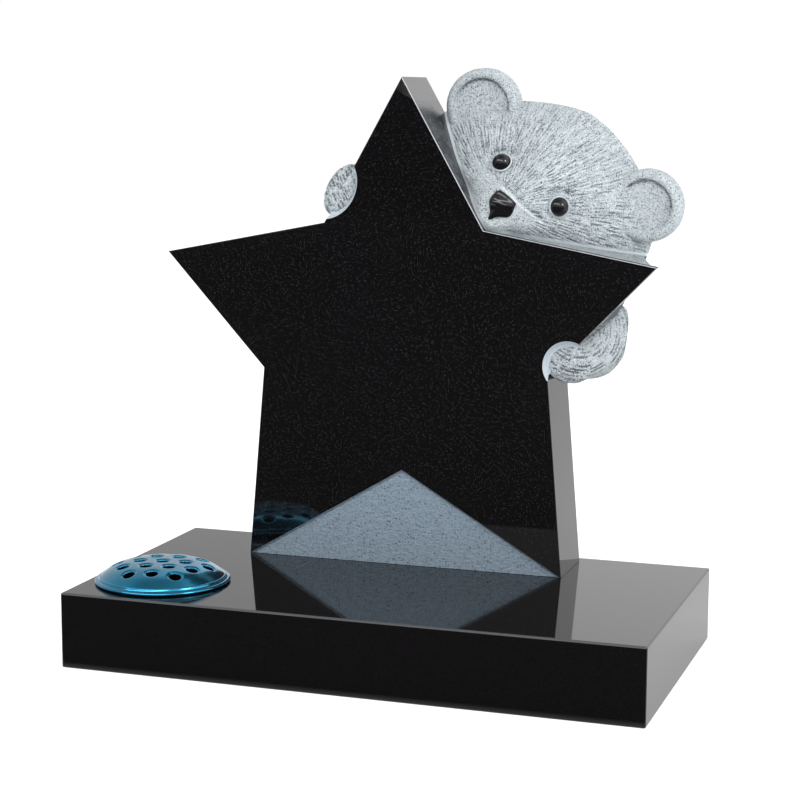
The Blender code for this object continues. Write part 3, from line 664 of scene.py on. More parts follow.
def cut_star(look, stone):
    """The star: its outline carried round a rounded arris, less the triangle, the bays and the
    tip's wedge."""
    corners = star_corners()
    arris = look.arris
    turns = np.radians((0, 22, 45, 68, 90))
    edge = [(arris * (1 - math.sin(t)), arris * (1 - math.cos(t))) for t in turns]
    profile = edge + [(inset, THICKNESS - depth) for inset, depth in reversed(edge)]
    star = placed("star_block", outline_form("star_block", corners, profile))
    star.data.materials.append(stone["polished"])
    apex = ((corners[4] + corners[5]) / 2) + (0.0, TRIANGLE_HEIGHT)
    low = [corner + (corner - apex) * 0.12 for corner in (corners[5], corners[4])]
    slope = TRIANGLE_BEVEL / TRIANGLE_RECESS
    steps = [(-OVERCUT * slope, -OVERCUT), (TRIANGLE_BEVEL, TRIANGLE_RECESS)]
    triangle = outline_form("triangle", [apex, *low], steps)
    way, out = left_edge()
    left_bay = (LEFT_PAW_X, LEFT_PAW_Z) + out * LEFT_SCOOP_OUT - way * LEFT_SCOOP_DOWN
    cutters = (
        (triangle, stone["panel"]),
        (tip_cutter(), stone["tip"]),
        (bay_cutter("paw_bay", PAW_X, PAW_Z, SCOOP_RADIUS), stone["rubbed"]),
        (bay_cutter("left_paw_bay", *left_bay, LEFT_SCOOP_RADIUS, way, LEFT_SCOOP_STRETCH), stone["rubbed"]),
    )
    made = []
    for mesh, material in cutters:
        mesh.materials.append(material)
        cutter = placed(mesh.name, mesh)
        made.append(cutter)
        step = star.modifiers.new(mesh.name, "BOOLEAN")
        step.operation, step.object = "DIFFERENCE", cutter
        step.solver, step.material_mode = "EXACT", "TRANSFER"
    bpy.context.view_layer.update()
    mesh = bpy.data.meshes.new_from_object(star.evaluated_get(bpy.context.evaluated_depsgraph_get()))
    mesh.name = "star"
    for old in (star, *made):
        bpy.data.objects.remove(old, do_unlink=True)
    return mesh


def finish_walls(mesh, look, stone):
    """Gives the side walls their own finishes: the wall beside the bear is left sawn below a cut
    across it, the ledge under the bear is pecked, and the front arris at the bear is ground."""
    corners = star_corners()
    notch, tip = on_star(*corners[1], 0.0), on_star(*corners[2], 0.0)
    work = bmesh.new()
    work.from_mesh(mesh)
    low, high = Vector(look.polish_end_front), Vector(look.polish_end_back)
    across = Vector((math.sin(math.radians(60.0)), 0.0, -math.cos(math.radians(60.0))))
    bmesh.ops.bisect_plane(work, geom=work.verts[:] + work.edges[:] + work.faces[:], plane_co=low,
                           plane_no=(high - low).cross(across).normalized(), dist=1e-6)
    slots = {}
    for use in ("wall", "ledge", "arris"):
        slots[use] = len(mesh.materials)
        mesh.materials.append(stone[use])
    for face in work.faces:
        centre, normal = face.calc_center_median(), face.normal
        if centre.x < STAR_SHIFT or centre.z < tip[2] - 0.02 or normal.y > 0.1:
            continue
        use = None
        if normal.y < -0.1:
            if -normal.y < 0.95 and centre.y < STONE_FRONT + look.arris and centre.x < tip[0] - 0.02:
                use = "arris"
        elif normal.z > 0.8 and notch[0] < centre.x < tip[0]:
            use = "ledge"
        elif normal.x > 0.7 and normal.z > 0.2 and centre.z < low.z:
            use = "wall"
        if use:
            face.material_index = slots[use]
    work.to_mesh(mesh)
    work.free()


# The bear's head

def head_outline(angle):
    """A superellipse whose two sides have their own widths and powers."""
    across, up = np.cos(angle), np.sin(angle)
    width = np.where(across > 0, HEAD_RIGHT, HEAD_LEFT)
    power = np.where(across > 0, HEAD_RIGHT_POWER, HEAD_LEFT_POWER)
    height = np.where(up > 0, HEAD_CROWN, HEAD_CHIN)
    u = width * np.sign(across) * np.abs(across) ** (2 / power)
    return u, height * np.sign(up) * np.abs(up) ** (2 / power)


def head_point(u, v, depth):
    """Points given in the head's frame."""
    across = HEAD_X + u * math.cos(HEAD_TILT) - v * math.sin(HEAD_TILT)
    return on_star(across, HEAD_Z + u * math.sin(HEAD_TILT) + v * math.cos(HEAD_TILT), depth)


def head_surface(angle, reach):
    """The face: reach runs from 0 at the muzzle's middle to 1 at the outline, and the depth grows
    by a power of the way gone, higher over the crown than at the cheeks."""
    edge_u, edge_v = head_outline(angle)
    way_u, way_v = edge_u - MUZZLE_U, edge_v - MUZZLE_V
    length = np.hypot(way_u, way_v)
    turn = np.mod(np.degrees(np.arctan2(way_v, way_u)), 360.0)
    hidden = eased(turn, 170.0, 200.0) * (1 - eased(turn, 300.0, 330.0))
    longer = 1 + hidden * np.maximum(0.0, CHIN_REACH / length - 1)
    way_u, way_v, length = way_u * longer, way_v * longer, length * longer
    gone = np.maximum(0.0, (reach * length - MUZZLE_FLAT) / (length - MUZZLE_FLAT))
    crown = np.maximum(0.0, np.sin(angle)) ** 2
    power = HEAD_SLOPE_SIDES + (HEAD_SLOPE_CROWN - HEAD_SLOPE_SIDES) * crown
    rise = THICKNESS - MUZZLE_DEPTH - HEAD_EDGE
    height = rise * (1 - gone ** power) + HEAD_EDGE * np.sqrt(np.maximum(0.0, 1 - gone ** HEAD_EDGE_POWER))
    return MUZZLE_U + reach * way_u, MUZZLE_V + reach * way_v, THICKNESS - height


def eye_centres():
    """The middles of both eyes, by name."""
    found = {}
    for name, angle in EYES.items():
        u, v, depth = head_surface(np.array(angle), np.array(EYE_REACH))
        found[name] = head_point(u, v, depth + EYE_SUNK)
    return found


def from_star_edge(points):
    """How far points lie from the lines of the star's upper right side and of its ledge, whichever
    is nearer."""
    corners = on_star(*star_corners().T, 0.0)[:, [0, 2]]
    place = points[..., [0, 2]]
    gaps = []
    for start, end in zip(corners[:2], corners[1:3]):
        side = (end - start) / np.linalg.norm(end - start)
        gaps.append(np.abs((place - start) @ np.array([-side[1], side[0]])))
    return np.minimum(*gaps)


def face_relief(points, look):
    """The mason's work on the face, as a depth, the groove mask with its painted shade and highlights,
    the smooth mask and the vectors fur: rays of fur round the muzzle, in four bands so that strokes
    keep one width, darkened partly as painted shade in their grooves, with pale raised strokes between
    them, partly scratches and partly painted highlights, and finer hairs along them; the muzzle's
    ridge, painted paler as a highlight, and its crease, painted darker as shade; a hollow at each eye
    and a brow over it darkened with painted shade; a rubbed band at the star's edge, painted paler
    as a chamfer catching light."""
    muzzle = head_point(MUZZLE_U, MUZZLE_V, MUZZLE_DEPTH)
    x, z = points[..., 0], points[..., 2]
    right, up = x - muzzle[0] - 0.004, z - muzzle[2] - 0.004
    radius, turn = np.hypot(right, up), np.arctan2(up, right)
    dark, pale = np.zeros_like(radius), np.zeros_like(radius)
    for seed, count, low, high in FUR_BANDS:
        window = eased(radius, low, low + 0.008) * (1 - eased(radius, high - 0.010, high))
        rays = turn * count / (2 * math.pi)
        out = radius / look.stroke_length
        dark = np.maximum(dark, chisel_strokes(rays, out, seed, 0.25) * window)
        # Pale raised strokes: partly scratches, partly painted highlights on their ridges.
        pale = np.maximum(pale, chisel_strokes(rays + 0.5, out + 7, seed + 50, 0.14) * window)
    across, higher = right - MUZZLE_RIDGE[0], up - MUZZLE_RIDGE[1]
    along = across * MUZZLE_RIDGE_WAY[0] + higher * MUZZLE_RIDGE_WAY[1]
    beyond = higher * MUZZLE_RIDGE_WAY[0] - across * MUZZLE_RIDGE_WAY[1]
    on_ridge = eased(along, -0.004, 0.004) * (1 - eased(along, 0.052, 0.062))
    # The ridge is raised and painted paler as a highlight; the crease beside it is sunk and painted darker as
    # shade.
    ridge = np.exp(-(beyond / 0.0017) ** 2) * on_ridge
    crease = np.exp(-((beyond - 0.0040) / 0.0022) ** 2) * on_ridge
    inside = 1 - eased(beyond, -0.002, 0.003) * eased(radius, 0.016, 0.024)
    lumps = smooth_noise(x * 90, z * 90, 5.0)
    fade = 1 - 0.85 * np.clip(inside, 0, 1) * (1 - eased(radius, 0.034, 0.050))
    depth = (dark * look.stroke_depth - pale * look.stroke_depth * 0.35) * fade
    depth = depth + (lumps - 0.5) * 0.0008 - ridge * 0.0010 + crease * 0.0010
    cloud = smooth_noise(x * 55 + 4, z * 55, 8.0) - 0.5
    # Dark strokes are darkened partly as painted shade in their grooves; the cloud is a random tone.
    groove_and_shade = dark * fade * 0.42 - pale * fade * 0.22 - ridge * 0.35 + crease * 0.25 + cloud * 0.12
    near = np.full(radius.shape, 1.0)
    for centre in eye_centres().values():
        offset = points - centre
        away = np.linalg.norm(offset, axis=-1)
        above = offset[..., 2] / away
        brow = np.exp(-((away - 0.0185) / 0.0032) ** 2) * eased(above, 0.35, 0.85)
        depth = depth + 0.0022 * np.exp(-(away / 0.016) ** 2) + 0.0011 * brow
        groove_and_shade = groove_and_shade * (1 - 0.8 * (1 - eased(away, EYE_RADIUS * 1.2, EYE_RADIUS * 1.7)))
        # Painted shade in broken spots along the brow's groove over each eye.
        groove_and_shade = groove_and_shade + brow * smooth_noise(x * 900, z * 900, 3.0) * 0.8
        near = np.minimum(near, away)
    band = 1 - eased(from_star_edge(points), 0.0024, 0.0036)
    smooth = np.maximum(band, 1 - eased(near, EYE_RADIUS * 1.12, EYE_RADIUS * 1.2))
    shown = fade * (1 - smooth) * eased(near, EYE_RADIUS * 1.2, EYE_RADIUS * 1.7) * look.hair_strength
    fur = np.stack([turn * look.hair_count / (2 * math.pi), radius / look.hair_length, shown], -1)
    # The rubbed band at the star's edge is painted paler, as a chamfer catching light.
    return depth * (1 - band), groove_and_shade * (1 - band) - band * 0.35, smooth, fur


def carve_head(look, stone):
    """The head: a polar grid from the muzzle to the outline, close where it shows above the star."""
    shown = np.linspace(math.radians(-42), math.radians(190), 620, endpoint=False)
    hidden = np.linspace(math.radians(190), math.radians(318), 40, endpoint=False)
    angle = np.concatenate([shown, hidden])[None, :]
    reach = np.linspace(0.02, 1.0, 139)[:, None]
    grid = head_point(*np.broadcast_arrays(*head_surface(angle, reach)))
    depth, groove_and_shade, smooth, fur = face_relief(grid, look)
    reach = np.broadcast_to(reach, depth.shape)
    calm = 1 - 0.55 * eased(reach, 0.70, 0.97)
    fur[..., 2] *= calm
    normal = surface_normals(grid)
    normal *= -np.sign(normal[..., 1:2])
    fade = 1 - eased(reach, 0.965, 0.995)
    carved = grid - normal * (depth * fade)[..., None]
    back = STONE_BACK - BACK_STEP
    carved[..., 1] = np.minimum(carved[..., 1], back)
    mesh = closed_form("bear_head", carved, end_points(carved, back))
    add_masks(mesh, groove_and_shade * calm, smooth, (1, 1))
    hairs = mesh.attributes.new("fur", "FLOAT_VECTOR", "POINT")
    hairs.data.foreach_set("vector", np.append(fur.ravel(), np.zeros(6)).astype(np.float32))
    return finished_piece(mesh, (stone["carved"], stone["polished"]), 60)


def carve_ear(name, place, size, stone):
    """An ear: a section turned round its middle, with pecks in the dish, strokes on the rim and a
    painted shadow on the dish's wall under the rim at its upper right.
    """
    rows, columns = 84, 288
    dish = size - EAR_RIM_WIDTH
    floor = EAR_HEIGHT - EAR_DISH_DEPTH
    section = [(dish * share, floor + rise) for share, rise in EAR_DISH]
    section += [(dish + EAR_RIM_WIDTH * share, EAR_HEIGHT * height) for share, height in EAR_RIM]
    line = smooth_curve([*section, (size, 0.0)], rows, closed=False)
    turn = full_turn(columns)[None, :]
    radius, height = line[:, :1] + 0 * turn, line[:, 1:] + 0 * turn
    radius = np.clip(radius, 0.0004, size)
    middle = head_point(*place, THICKNESS)
    across, up = radius * np.cos(turn), radius * np.sin(turn)
    grid = np.stack([middle[0] + across, middle[1] - height, middle[2] + up], -1)
    normal = surface_normals(grid)
    normal *= np.sign(np.sum(normal * (grid - (middle + (0.0, 0.02, 0.0))), -1, keepdims=True))
    x, z = grid[..., 0], grid[..., 2]
    pecks = chisel_strokes((x - z * 0.3) * 300, (z + x * 0.3) * 150 + 3, 51.0 + size * 100, 0.3)
    on_rim = eased(radius, dish, dish + 0.002)
    rays = chisel_strokes(turn * 70 / (2 * math.pi) + 0 * radius, radius / 0.009 + 2, 61.0 + size * 100)
    groove_and_shade = (pecks * 0.22 - 0.10) * (1 - on_rim) + rays * 0.22 * on_rim
    depth = groove_and_shade * 0.0007 + smooth_noise(x * 160, z * 160, 9.0) * 0.0006
    depth = depth * (1 - eased(np.arange(rows)[:, None] / (rows - 1), 0.90, 0.97))
    carved = grid - normal * depth[..., None]
    back = STONE_BACK - BACK_STEP * 2
    carved[..., 1] = np.minimum(carved[..., 1], back)
    mesh = closed_form(name, carved, [carved[0].mean(0), (middle[0], back, middle[2])])
    # Painted shadow: a dark crescent on the dish's wall at the upper right, where the rim would shade it from
    # light above.
    shadow = np.exp(-((radius - dish * 0.97) / 0.0015) ** 2) * 0.70 * eased(np.cos(turn - 1.2), -0.1, 0.6)
    add_masks(mesh, np.maximum(groove_and_shade, shadow), on_rim * 0.1, (0, 1))
    return finished_piece(mesh, (stone["carved"], stone["polished"]), 60)


def carve_eyelid(name, angle, stone):
    """The pale rim where the eye comes out of the face: a ring tube round the face's normal, as a
    circle carried round a circle."""
    rows, columns = 12, 72
    middle = head_point(*head_surface(np.array(angle), np.array(EYE_REACH)))
    step = 0.02
    right = head_point(*head_surface(np.array(angle + step), np.array(EYE_REACH))) - middle
    up = head_point(*head_surface(np.array(angle), np.array(EYE_REACH + step))) - middle
    out = np.cross(right, up)
    out /= np.linalg.norm(out) * -np.sign(out[1])
    right /= np.linalg.norm(right)
    up = np.cross(out, right)
    reach = math.sqrt(EYE_RADIUS ** 2 - EYE_SUNK ** 2) + EYELID_TUBE * 0.8
    turn, bend = full_turn(columns)[None, :], full_turn(rows)[:, None]
    wide = (reach + EYELID_TUBE * np.cos(bend))[..., None]
    ring = np.cos(turn)[..., None] * right + np.sin(turn)[..., None] * up
    points = middle + EYELID_SHIFT + wide * ring + (EYELID_TUBE * np.sin(bend))[..., None] * out
    faces = grid_faces(rows + 1, columns) % (rows * columns)
    return finished_piece(build_mesh(name, points, [faces]), (stone["rubbed"],), 80)


def polish_eye(name, centre, stone):
    """An eye: a ball, latitude by longitude, closed at its poles."""
    ball = EYE_RADIUS + EYELID_TUBE / 2
    tilt = np.linspace(0, math.pi, 34)[1:-1, None]
    turn = full_turn(56)[None, :]
    across, up = np.sin(tilt) * np.cos(turn), np.sin(tilt) * np.sin(turn)
    grid = np.stack([across, -np.cos(tilt) + 0 * turn, up], -1) * ball + centre
    poles = np.array([(0, -1, 0), (0, 1, 0)]) * ball + centre
    return finished_piece(closed_form(name, grid, poles, backed=False), (stone["gloss"],), 80)


def polish_nose(stone):
    """The nose: a pebble over its outline, whose front falls away as a quarter circle, with a ridge
    across it that swells as a bell curve."""
    middle = head_point(MUZZLE_U, MUZZLE_V, MUZZLE_DEPTH)
    loop = smooth_curve(NOSE_OUTLINE, 96)
    centre = loop.mean(0)
    rings = []
    for turn in np.radians(np.linspace(6, 90, 15)):
        flat = centre + (loop - centre) * math.sin(turn) ** 0.8
        over = flat[:, 1] - NOSE_RIDGE + flat[:, 0] * NOSE_SLANT
        swell = np.exp(-(over / 0.0030) ** 2) * math.cos(turn) ** 0.5
        bulge = np.exp(-((flat[:, 0] - centre[0]) / 0.0095) ** 2) * math.cos(turn) ** 0.7
        front = middle[1] - NOSE_PROUD * math.cos(turn) - NOSE_SWELL * swell - NOSE_BULGE * bulge
        rings.append(np.stack([middle[0] + flat[:, 0], front, middle[2] + flat[:, 1]], -1))
    rings.append(rings[-1] + (0.0, OVERCUT / 2, 0.0))
    ends = [rings[0].mean(0), rings[-1].mean(0)]
    mesh = closed_form("bear_nose", np.stack(rings), ends, backed=False)
    return finished_piece(mesh, (stone["gloss"],), 70)


# The limbs

def limb_rows(front, back, flare):
    """A full rounded cap over the front outline, which widens to the back outline by a power of the
    way gone. Rows run from the cap's tip to the back; both outlines are from the limb's middle."""
    rows = []
    for turn in np.radians(np.linspace(4, 88, 34)):
        flat = front * math.sin(turn) ** PAW_FULLNESS
        rows.append((flat, PAW_FRONT_DEPTH + PAW_CAP * (1 - math.cos(turn))))
    start = PAW_FRONT_DEPTH + PAW_CAP
    for way in np.linspace(0.02, 1.0, 86):
        rows.append((front + (back - front) * way ** flare, start + (THICKNESS - start) * way))
    return rows


def carve_limb(name, middle, front, back, flare, pattern, look, stone):
    """A limb, with the grooves that pattern gives for its points."""
    rows = limb_rows(front, back, flare)
    grid = np.stack([on_star(*(middle + flat).T, depth) for flat, depth in rows])
    normal = surface_normals(grid)
    inside = on_star(*middle, THICKNESS * 0.6)
    normal *= np.sign(np.sum(normal * (grid - inside), -1, keepdims=True))
    groove_and_shade, deep = pattern(grid, look)
    fade = 1 - eased(grid[..., 1], STONE_BACK - 0.003, STONE_BACK - 0.001)
    carved = grid - normal * (groove_and_shade * deep * fade)[..., None]
    level = STONE_BACK - BACK_STEP * 3
    carved[..., 1] = np.minimum(carved[..., 1], level)
    mesh = closed_form(name, carved, end_points(carved, level))
    add_masks(mesh, groove_and_shade, np.zeros_like(groove_and_shade), (0, 1))
    return finished_piece(mesh, (stone["carved"], stone["polished"]), 60)


def arm_pattern(points, look):
    """Long grooves in arcs round a point over the paw, in the plane that the camera faces: each
    place is taken along the camera's right and up, so that the arcs sweep round the arm. The
    grooves grow deeper and darker towards the arm's underside, partly as cutting and partly as
    painted shade where the arm turns down."""
    hub = on_star(PAW_X + ARM_HUB[0], PAW_Z + ARM_HUB[1], 0.0)
    x, y, z = (points[..., k] - hub[k] for k in range(3))
    right = x * math.cos(CAMERA_TURN) + y * math.sin(CAMERA_TURN)
    ahead = y * math.cos(CAMERA_TURN) - x * math.sin(CAMERA_TURN)
    up = z * math.cos(CAMERA_DIP) + ahead * math.sin(CAMERA_DIP)
    radius, turn = np.hypot(right, up), np.arctan2(up, right)
    rows = radius / look.arm_groove_pitch
    long = chisel_strokes(rows, turn * 1.4 + 4, 71.0, 0.24)
    fine = chisel_strokes(rows * 1.9 + 0.4, turn * 4.0 + 9, 83.0, 0.28)
    # Painted shade on the underside: the grooves grow deeper and darker where the arm turns down.
    lower = 0.45 + 0.55 * eased(-up, 0.012, 0.042)
    groove_and_shade = np.maximum(long * 1.15, fine * 0.4) * eased(radius, 0.004, 0.012) * lower
    return groove_and_shade, look.arm_groove_depth


def left_paw_pattern(points, look):
    """Short slanting strokes across the paw."""
    right, up = points[..., 0] + points[..., 1] * 0.2, points[..., 2]
    slant = math.radians(24.0)
    across = (right * math.cos(slant) + up * math.sin(slant)) / 0.0040
    along = (up * math.cos(slant) - right * math.sin(slant)) / 0.0125
    return chisel_strokes(across, along, 97.0, 0.30) * 0.9, look.arm_groove_depth * 0.8


def arm_outlines():
    """The arm's outline on the stone's back, and its paw's at the front in the same directions."""
    back = smooth_curve(ARM_OUTLINE, 300)
    length = np.linalg.norm(back, axis=1)
    reach = np.where(back[:, 1] > 0, PAW_RADIUS, PAW_UNDERSIDE)
    return np.stack([back[:, 0] / length * PAW_RADIUS, back[:, 1] / length * reach], -1), back


def left_paw_outline():
    """An ellipse along the star's upper left edge."""
    along, out = left_edge()
    turn = full_turn(260)[:, None]
    return along * LEFT_PAW_HALF_LENGTH * np.cos(turn) + out * LEFT_PAW_HALF_WIDTH * np.sin(turn)


# The lid

def crown_height(radius):
    """The crown's height over the slab: a dome that falls by a power of the radius."""
    return LID_CROWN_HEIGHT - LID_CROWN_DROP * (radius / LID_CROWN_RADIUS) ** LID_CROWN_POWER


def crown_tilt(radius):
    """The crown's slope as an angle."""
    share = (radius / LID_CROWN_RADIUS) ** (LID_CROWN_POWER - 1)
    return np.arctan(LID_CROWN_POWER * LID_CROWN_DROP / LID_CROWN_RADIUS * share)


def under_sheet(radius, height):
    """Radius and height of the sheet's underside: a wall's thickness along the crown's normal."""
    tilt = crown_tilt(radius)
    return radius - LID_WALL * np.sin(tilt), height - LID_WALL * np.cos(tilt)


def stem_holes(pitch):
    """The middles of the 19 holes, in rows of 3, 4, 5, 4 and 3."""
    places = []
    for row in range(-2, 3):
        count = 5 - abs(row)
        across = (np.arange(count) - (count - 1) / 2) * pitch
        places.append(np.stack([across, np.full(count, row * pitch * math.sqrt(3) / 2)], -1))
    cosine, sine = math.cos(STEM_HOLE_TURN), math.sin(STEM_HOLE_TURN)
    return np.concatenate(places) @ np.array([[cosine, sine], [-sine, cosine]])


def hole_slopes(holes):
    """The unit vector from the lid's middle to each hole, and the cosine of the sheet's slope there."""
    reach = np.linalg.norm(holes, axis=1)
    return holes / np.maximum(reach, 1e-9)[:, None], np.cos(crown_tilt(reach))


def hole_gaps(plan, holes, size):
    """How far each point of the plan lies outside its nearest hole. A hole is round in the sloping
    sheet, so in plan it is narrower towards the lid's middle, by the cosine of the slope."""
    outward, cosine = hole_slopes(holes)
    offset = plan[:, None] - holes[None]
    stretched = np.einsum("phk,hk->ph", offset, outward) * (1 / cosine - 1)
    return np.linalg.norm(offset + outward[None] * stretched[..., None], axis=2).min(1) - size


def crown_plan(holes, size, around):
    """The crown's plan: rings round each hole, a six-sided lattice between them and the outer
    circle, joined into triangles that keep the hole's edge and the outer circle as sides."""
    corners = 40
    steps = size + np.array([0.0, 0.00012, 0.00032, 0.0006, 0.0011, 0.0017, 0.0021, 0.0025, 0.0029])
    outward, cosine = hole_slopes(holes)
    unit = unit_circle(corners)
    inline = np.einsum("tk,hk->ht", unit, outward) * (1 - cosine)[:, None]
    shape = unit[None] - outward[:, None] * inline[..., None]
    rings = holes[:, None, None, :] + steps[None, :, None, None] * shape[:, None]
    rim = LID_PLAN_RADIUS * unit_circle(around)
    step = 0.0017
    i, j = np.meshgrid(np.arange(-40, 41), np.arange(-46, 47))
    lattice = np.stack([(i + (j % 2) / 2) * step, j * step * math.sqrt(3) / 2], -1).reshape(-1, 2)
    clear = hole_gaps(lattice, holes, steps[-1]) > step * 0.5
    lattice = lattice[clear & (np.linalg.norm(lattice, axis=1) < LID_PLAN_RADIUS - step * 0.7)]
    edges = rings[:, 0].reshape(-1, 2)
    loose = rings[:, 1:].reshape(-1, 2)
    loose = loose[np.linalg.norm(loose, axis=1) < LID_PLAN_RADIUS - 0.0004]
    sides = [(k, (k + 1) % around) for k in range(around)]
    for first in range(around, around + len(edges), corners):
        sides += [(first + k, first + (k + 1) % corners) for k in range(corners)]
    places = [Vector(p) for p in np.concatenate([rim, edges, loose, lattice])]
    done = delaunay_2d_cdt(places, sides, [], 0, 1e-7)
    points = np.array([tuple(p) for p in done[0]])
    faces = np.array([f for f in done[2] if len(f) == 3])
    middle = points[faces].mean(1)
    inside = np.linalg.norm(middle, axis=1) < LID_PLAN_RADIUS
    return points, faces[inside & (hole_gaps(middle, holes, size) > -size * 0.012)]


def spin_lid(look):
    """The lid: the crown as a height over its plan, dished and rolled at each hole, the same again
    as its underside, the holes' walls, and the foot and the rim as a section turned round the
    middle. The skirt is a ring of its own, let into the sheet."""
    around = 192
    holes = stem_holes(look.hole_pitch)
    plan, faces = crown_plan(holes, look.hole_radius, around)
    radius = np.linalg.norm(plan, axis=1)
    gap = np.maximum(hole_gaps(plan, holes, look.hole_radius), 0.0)
    bent = np.clip((LID_HOLE_ROLL - gap) / LID_HOLE_ROLL, 0, 1)
    rolled = LID_HOLE_ROLL * (1 - np.sqrt(np.maximum(0.0, 1 - bent ** 2)))
    dish = LID_HOLE_DISH * (1 - eased(gap, 0.0013, 0.0027)) + rolled
    dish = dish * (1 - eased(radius, LID_PLAN_RADIUS - 0.0012, LID_PLAN_RADIUS - 0.0002))
    height = crown_height(radius) - dish
    low_radius, low_height = under_sheet(radius, height)
    count = len(plan)
    top = np.column_stack([plan, height])
    under = np.column_stack([plan * (low_radius / np.maximum(radius, 1e-9))[:, None], low_height])
    ordered = np.concatenate([faces[:, [0, 1]], faces[:, [1, 2]], faces[:, [2, 0]]])
    _, index, times = np.unique(np.sort(ordered, 1), axis=0, return_index=True, return_counts=True)
    border = ordered[index[times == 1]]
    walls = border[radius[border].max(1) < LID_PLAN_RADIUS - 1e-5]
    foot = np.linspace(LID_PLAN_RADIUS, LID_CROWN_RADIUS, 12)
    rim = smooth_curve(LID_RIM_SECTION, 96, closed=False) * (-1, 1) + (LID_RIM_RADIUS, 0)
    line = np.concatenate([
        np.column_stack([foot, crown_height(foot)]), rim,
        np.column_stack(under_sheet(foot[-2::-1], crown_height(foot[-2::-1]))),
    ])
    skirt = np.array([
        (LID_SKIRT_OUTSIDE, LID_SKIRT_TOP), (LID_SKIRT_OUTSIDE, -LID_SKIRT_LENGTH),
        (LID_SKIRT_INSIDE, -LID_SKIRT_LENGTH), (LID_SKIRT_INSIDE, LID_SKIRT_TOP),
        (LID_SKIRT_OUTSIDE, LID_SKIRT_TOP),
    ])
    x, y = unit_circle(around).T
    points, quads = [top, under], [np.column_stack([walls[:, ::-1], walls + count])]
    for section in (line, skirt):
        first = sum(len(group) for group in points)
        spun = np.stack([section[:, :1] * x, section[:, :1] * y, section[:, 1:] + 0 * x], -1)
        points.append(spun.reshape(-1, 3))
        quads.append(grid_faces(len(section), around, first=first))
    triangles = np.concatenate([faces, faces[:, ::-1] + count])
    places = np.concatenate(points) + np.array(LID_MIDDLE)
    mesh = build_mesh("lid", places, [np.concatenate(quads), triangles])
    work = bmesh.new()
    work.from_mesh(mesh)
    bmesh.ops.remove_doubles(work, verts=work.verts, dist=0.00001)
    bmesh.ops.recalc_face_normals(work, faces=work.faces)
    work.to_mesh(mesh)
    work.free()
    return mesh


# Settings

def number_setting(name, description, default, unit="NONE", subtype="NONE"):
    """A number that the panel shows."""
    return FloatProperty(name=name, description=description, default=default, unit=unit, subtype=subtype)


def length_setting(name, description, default):
    """A length that the panel shows."""
    return number_setting(name, description, default, unit="LENGTH")


def vector_setting(name, description, default, subtype="COLOR"):
    """A colour that the panel shows, or with another subtype a place."""
    return FloatVectorProperty(name=name, description=description, default=default, subtype=subtype)


class HeadstoneStone(bpy.types.PropertyGroup):
    """The granite's sizes and colours."""
    grain_scale: number_setting("Grain scale", "Grains of struck stone in a metre", 620.0)
    arris: length_setting("Arris", "Radius of the star's rounded edges", 0.0011)
    stroke_length: length_setting("Stroke length", "Length of a stroke of fur", 0.019)
    stroke_depth: length_setting("Stroke depth", "Depth of a stroke of fur", 0.0011)
    hair_count: number_setting("Hair count", "Fine hairs in a full turn round the muzzle", 420.0)
    hair_length: length_setting("Hair length", "Length of a fine hair", 0.012)
    hair_strength: number_setting("Hair strength", "How dark the fine hairs are", 0.42)
    arm_groove_pitch: length_setting("Arm groove pitch", "Space between the arm's grooves", 0.0040)
    arm_groove_depth: length_setting("Arm groove depth", "Depth of the arm's grooves", 0.0013)
    polish_end_front: vector_setting(
        "Polish end, front", "Where the upper wall's polish ends at the front", (0.022, 0.066, 0.565), "XYZ")
    polish_end_back: vector_setting(
        "Polish end, back", "Where the upper wall's polish ends at the back", (0.022, 0.149, 0.565), "XYZ")
    polish: vector_setting("Polished", "Colour of the polished granite", (0.0030, 0.0026, 0.0030))
    fleck: vector_setting("Flecks", "Colour of the mineral flecks", (0.078, 0.078, 0.085))
    arris_colour: vector_setting("Arris colour", "Colour of the ground arris", (0.42, 0.45, 0.47))
    carved_light: vector_setting("Carved, light", "Colour of struck granite", (0.62, 0.68, 0.71))
    # This dark colour also carries the painted shade in the grooves.
    carved_dark: vector_setting("Carved, dark", "Colour in its grooves", (0.095, 0.115, 0.13))
    panel_light: vector_setting("Panel, light", "Colour of the frosted triangle", (0.25, 0.32, 0.385))
    panel_dark: vector_setting("Panel, dark", "Dark mottling of the frosted triangle", (0.085, 0.115, 0.15))
    wall_light: vector_setting("Sawn wall, light", "Colour of the dust on the sawn wall", (0.13, 0.15, 0.17))
    wall_dark: vector_setting("Sawn wall, dark", "Colour of the sawn wall", (0.010, 0.010, 0.012))
    rubbed: vector_setting("Rubbed rim", "Colour of the rubbed rims", (0.36, 0.42, 0.47))
    ledge_light: vector_setting("Ledge", "Colour of the ledge under the bear", (0.52, 0.58, 0.61))


class HeadstoneLid(bpy.types.PropertyGroup):
    """The lid's sizes and finish."""
    hole_radius: length_setting("Hole radius", "Radius of a stem hole", 0.0062)
    hole_pitch: length_setting("Hole pitch", "Space between stem holes", 0.0245)
    dye: vector_setting("Dye", "Colour of the anodised metal", (0.016, 0.215, 0.365))
    roughness: number_setting("Roughness", "Roughness of the metal", 0.18, subtype="FACTOR")


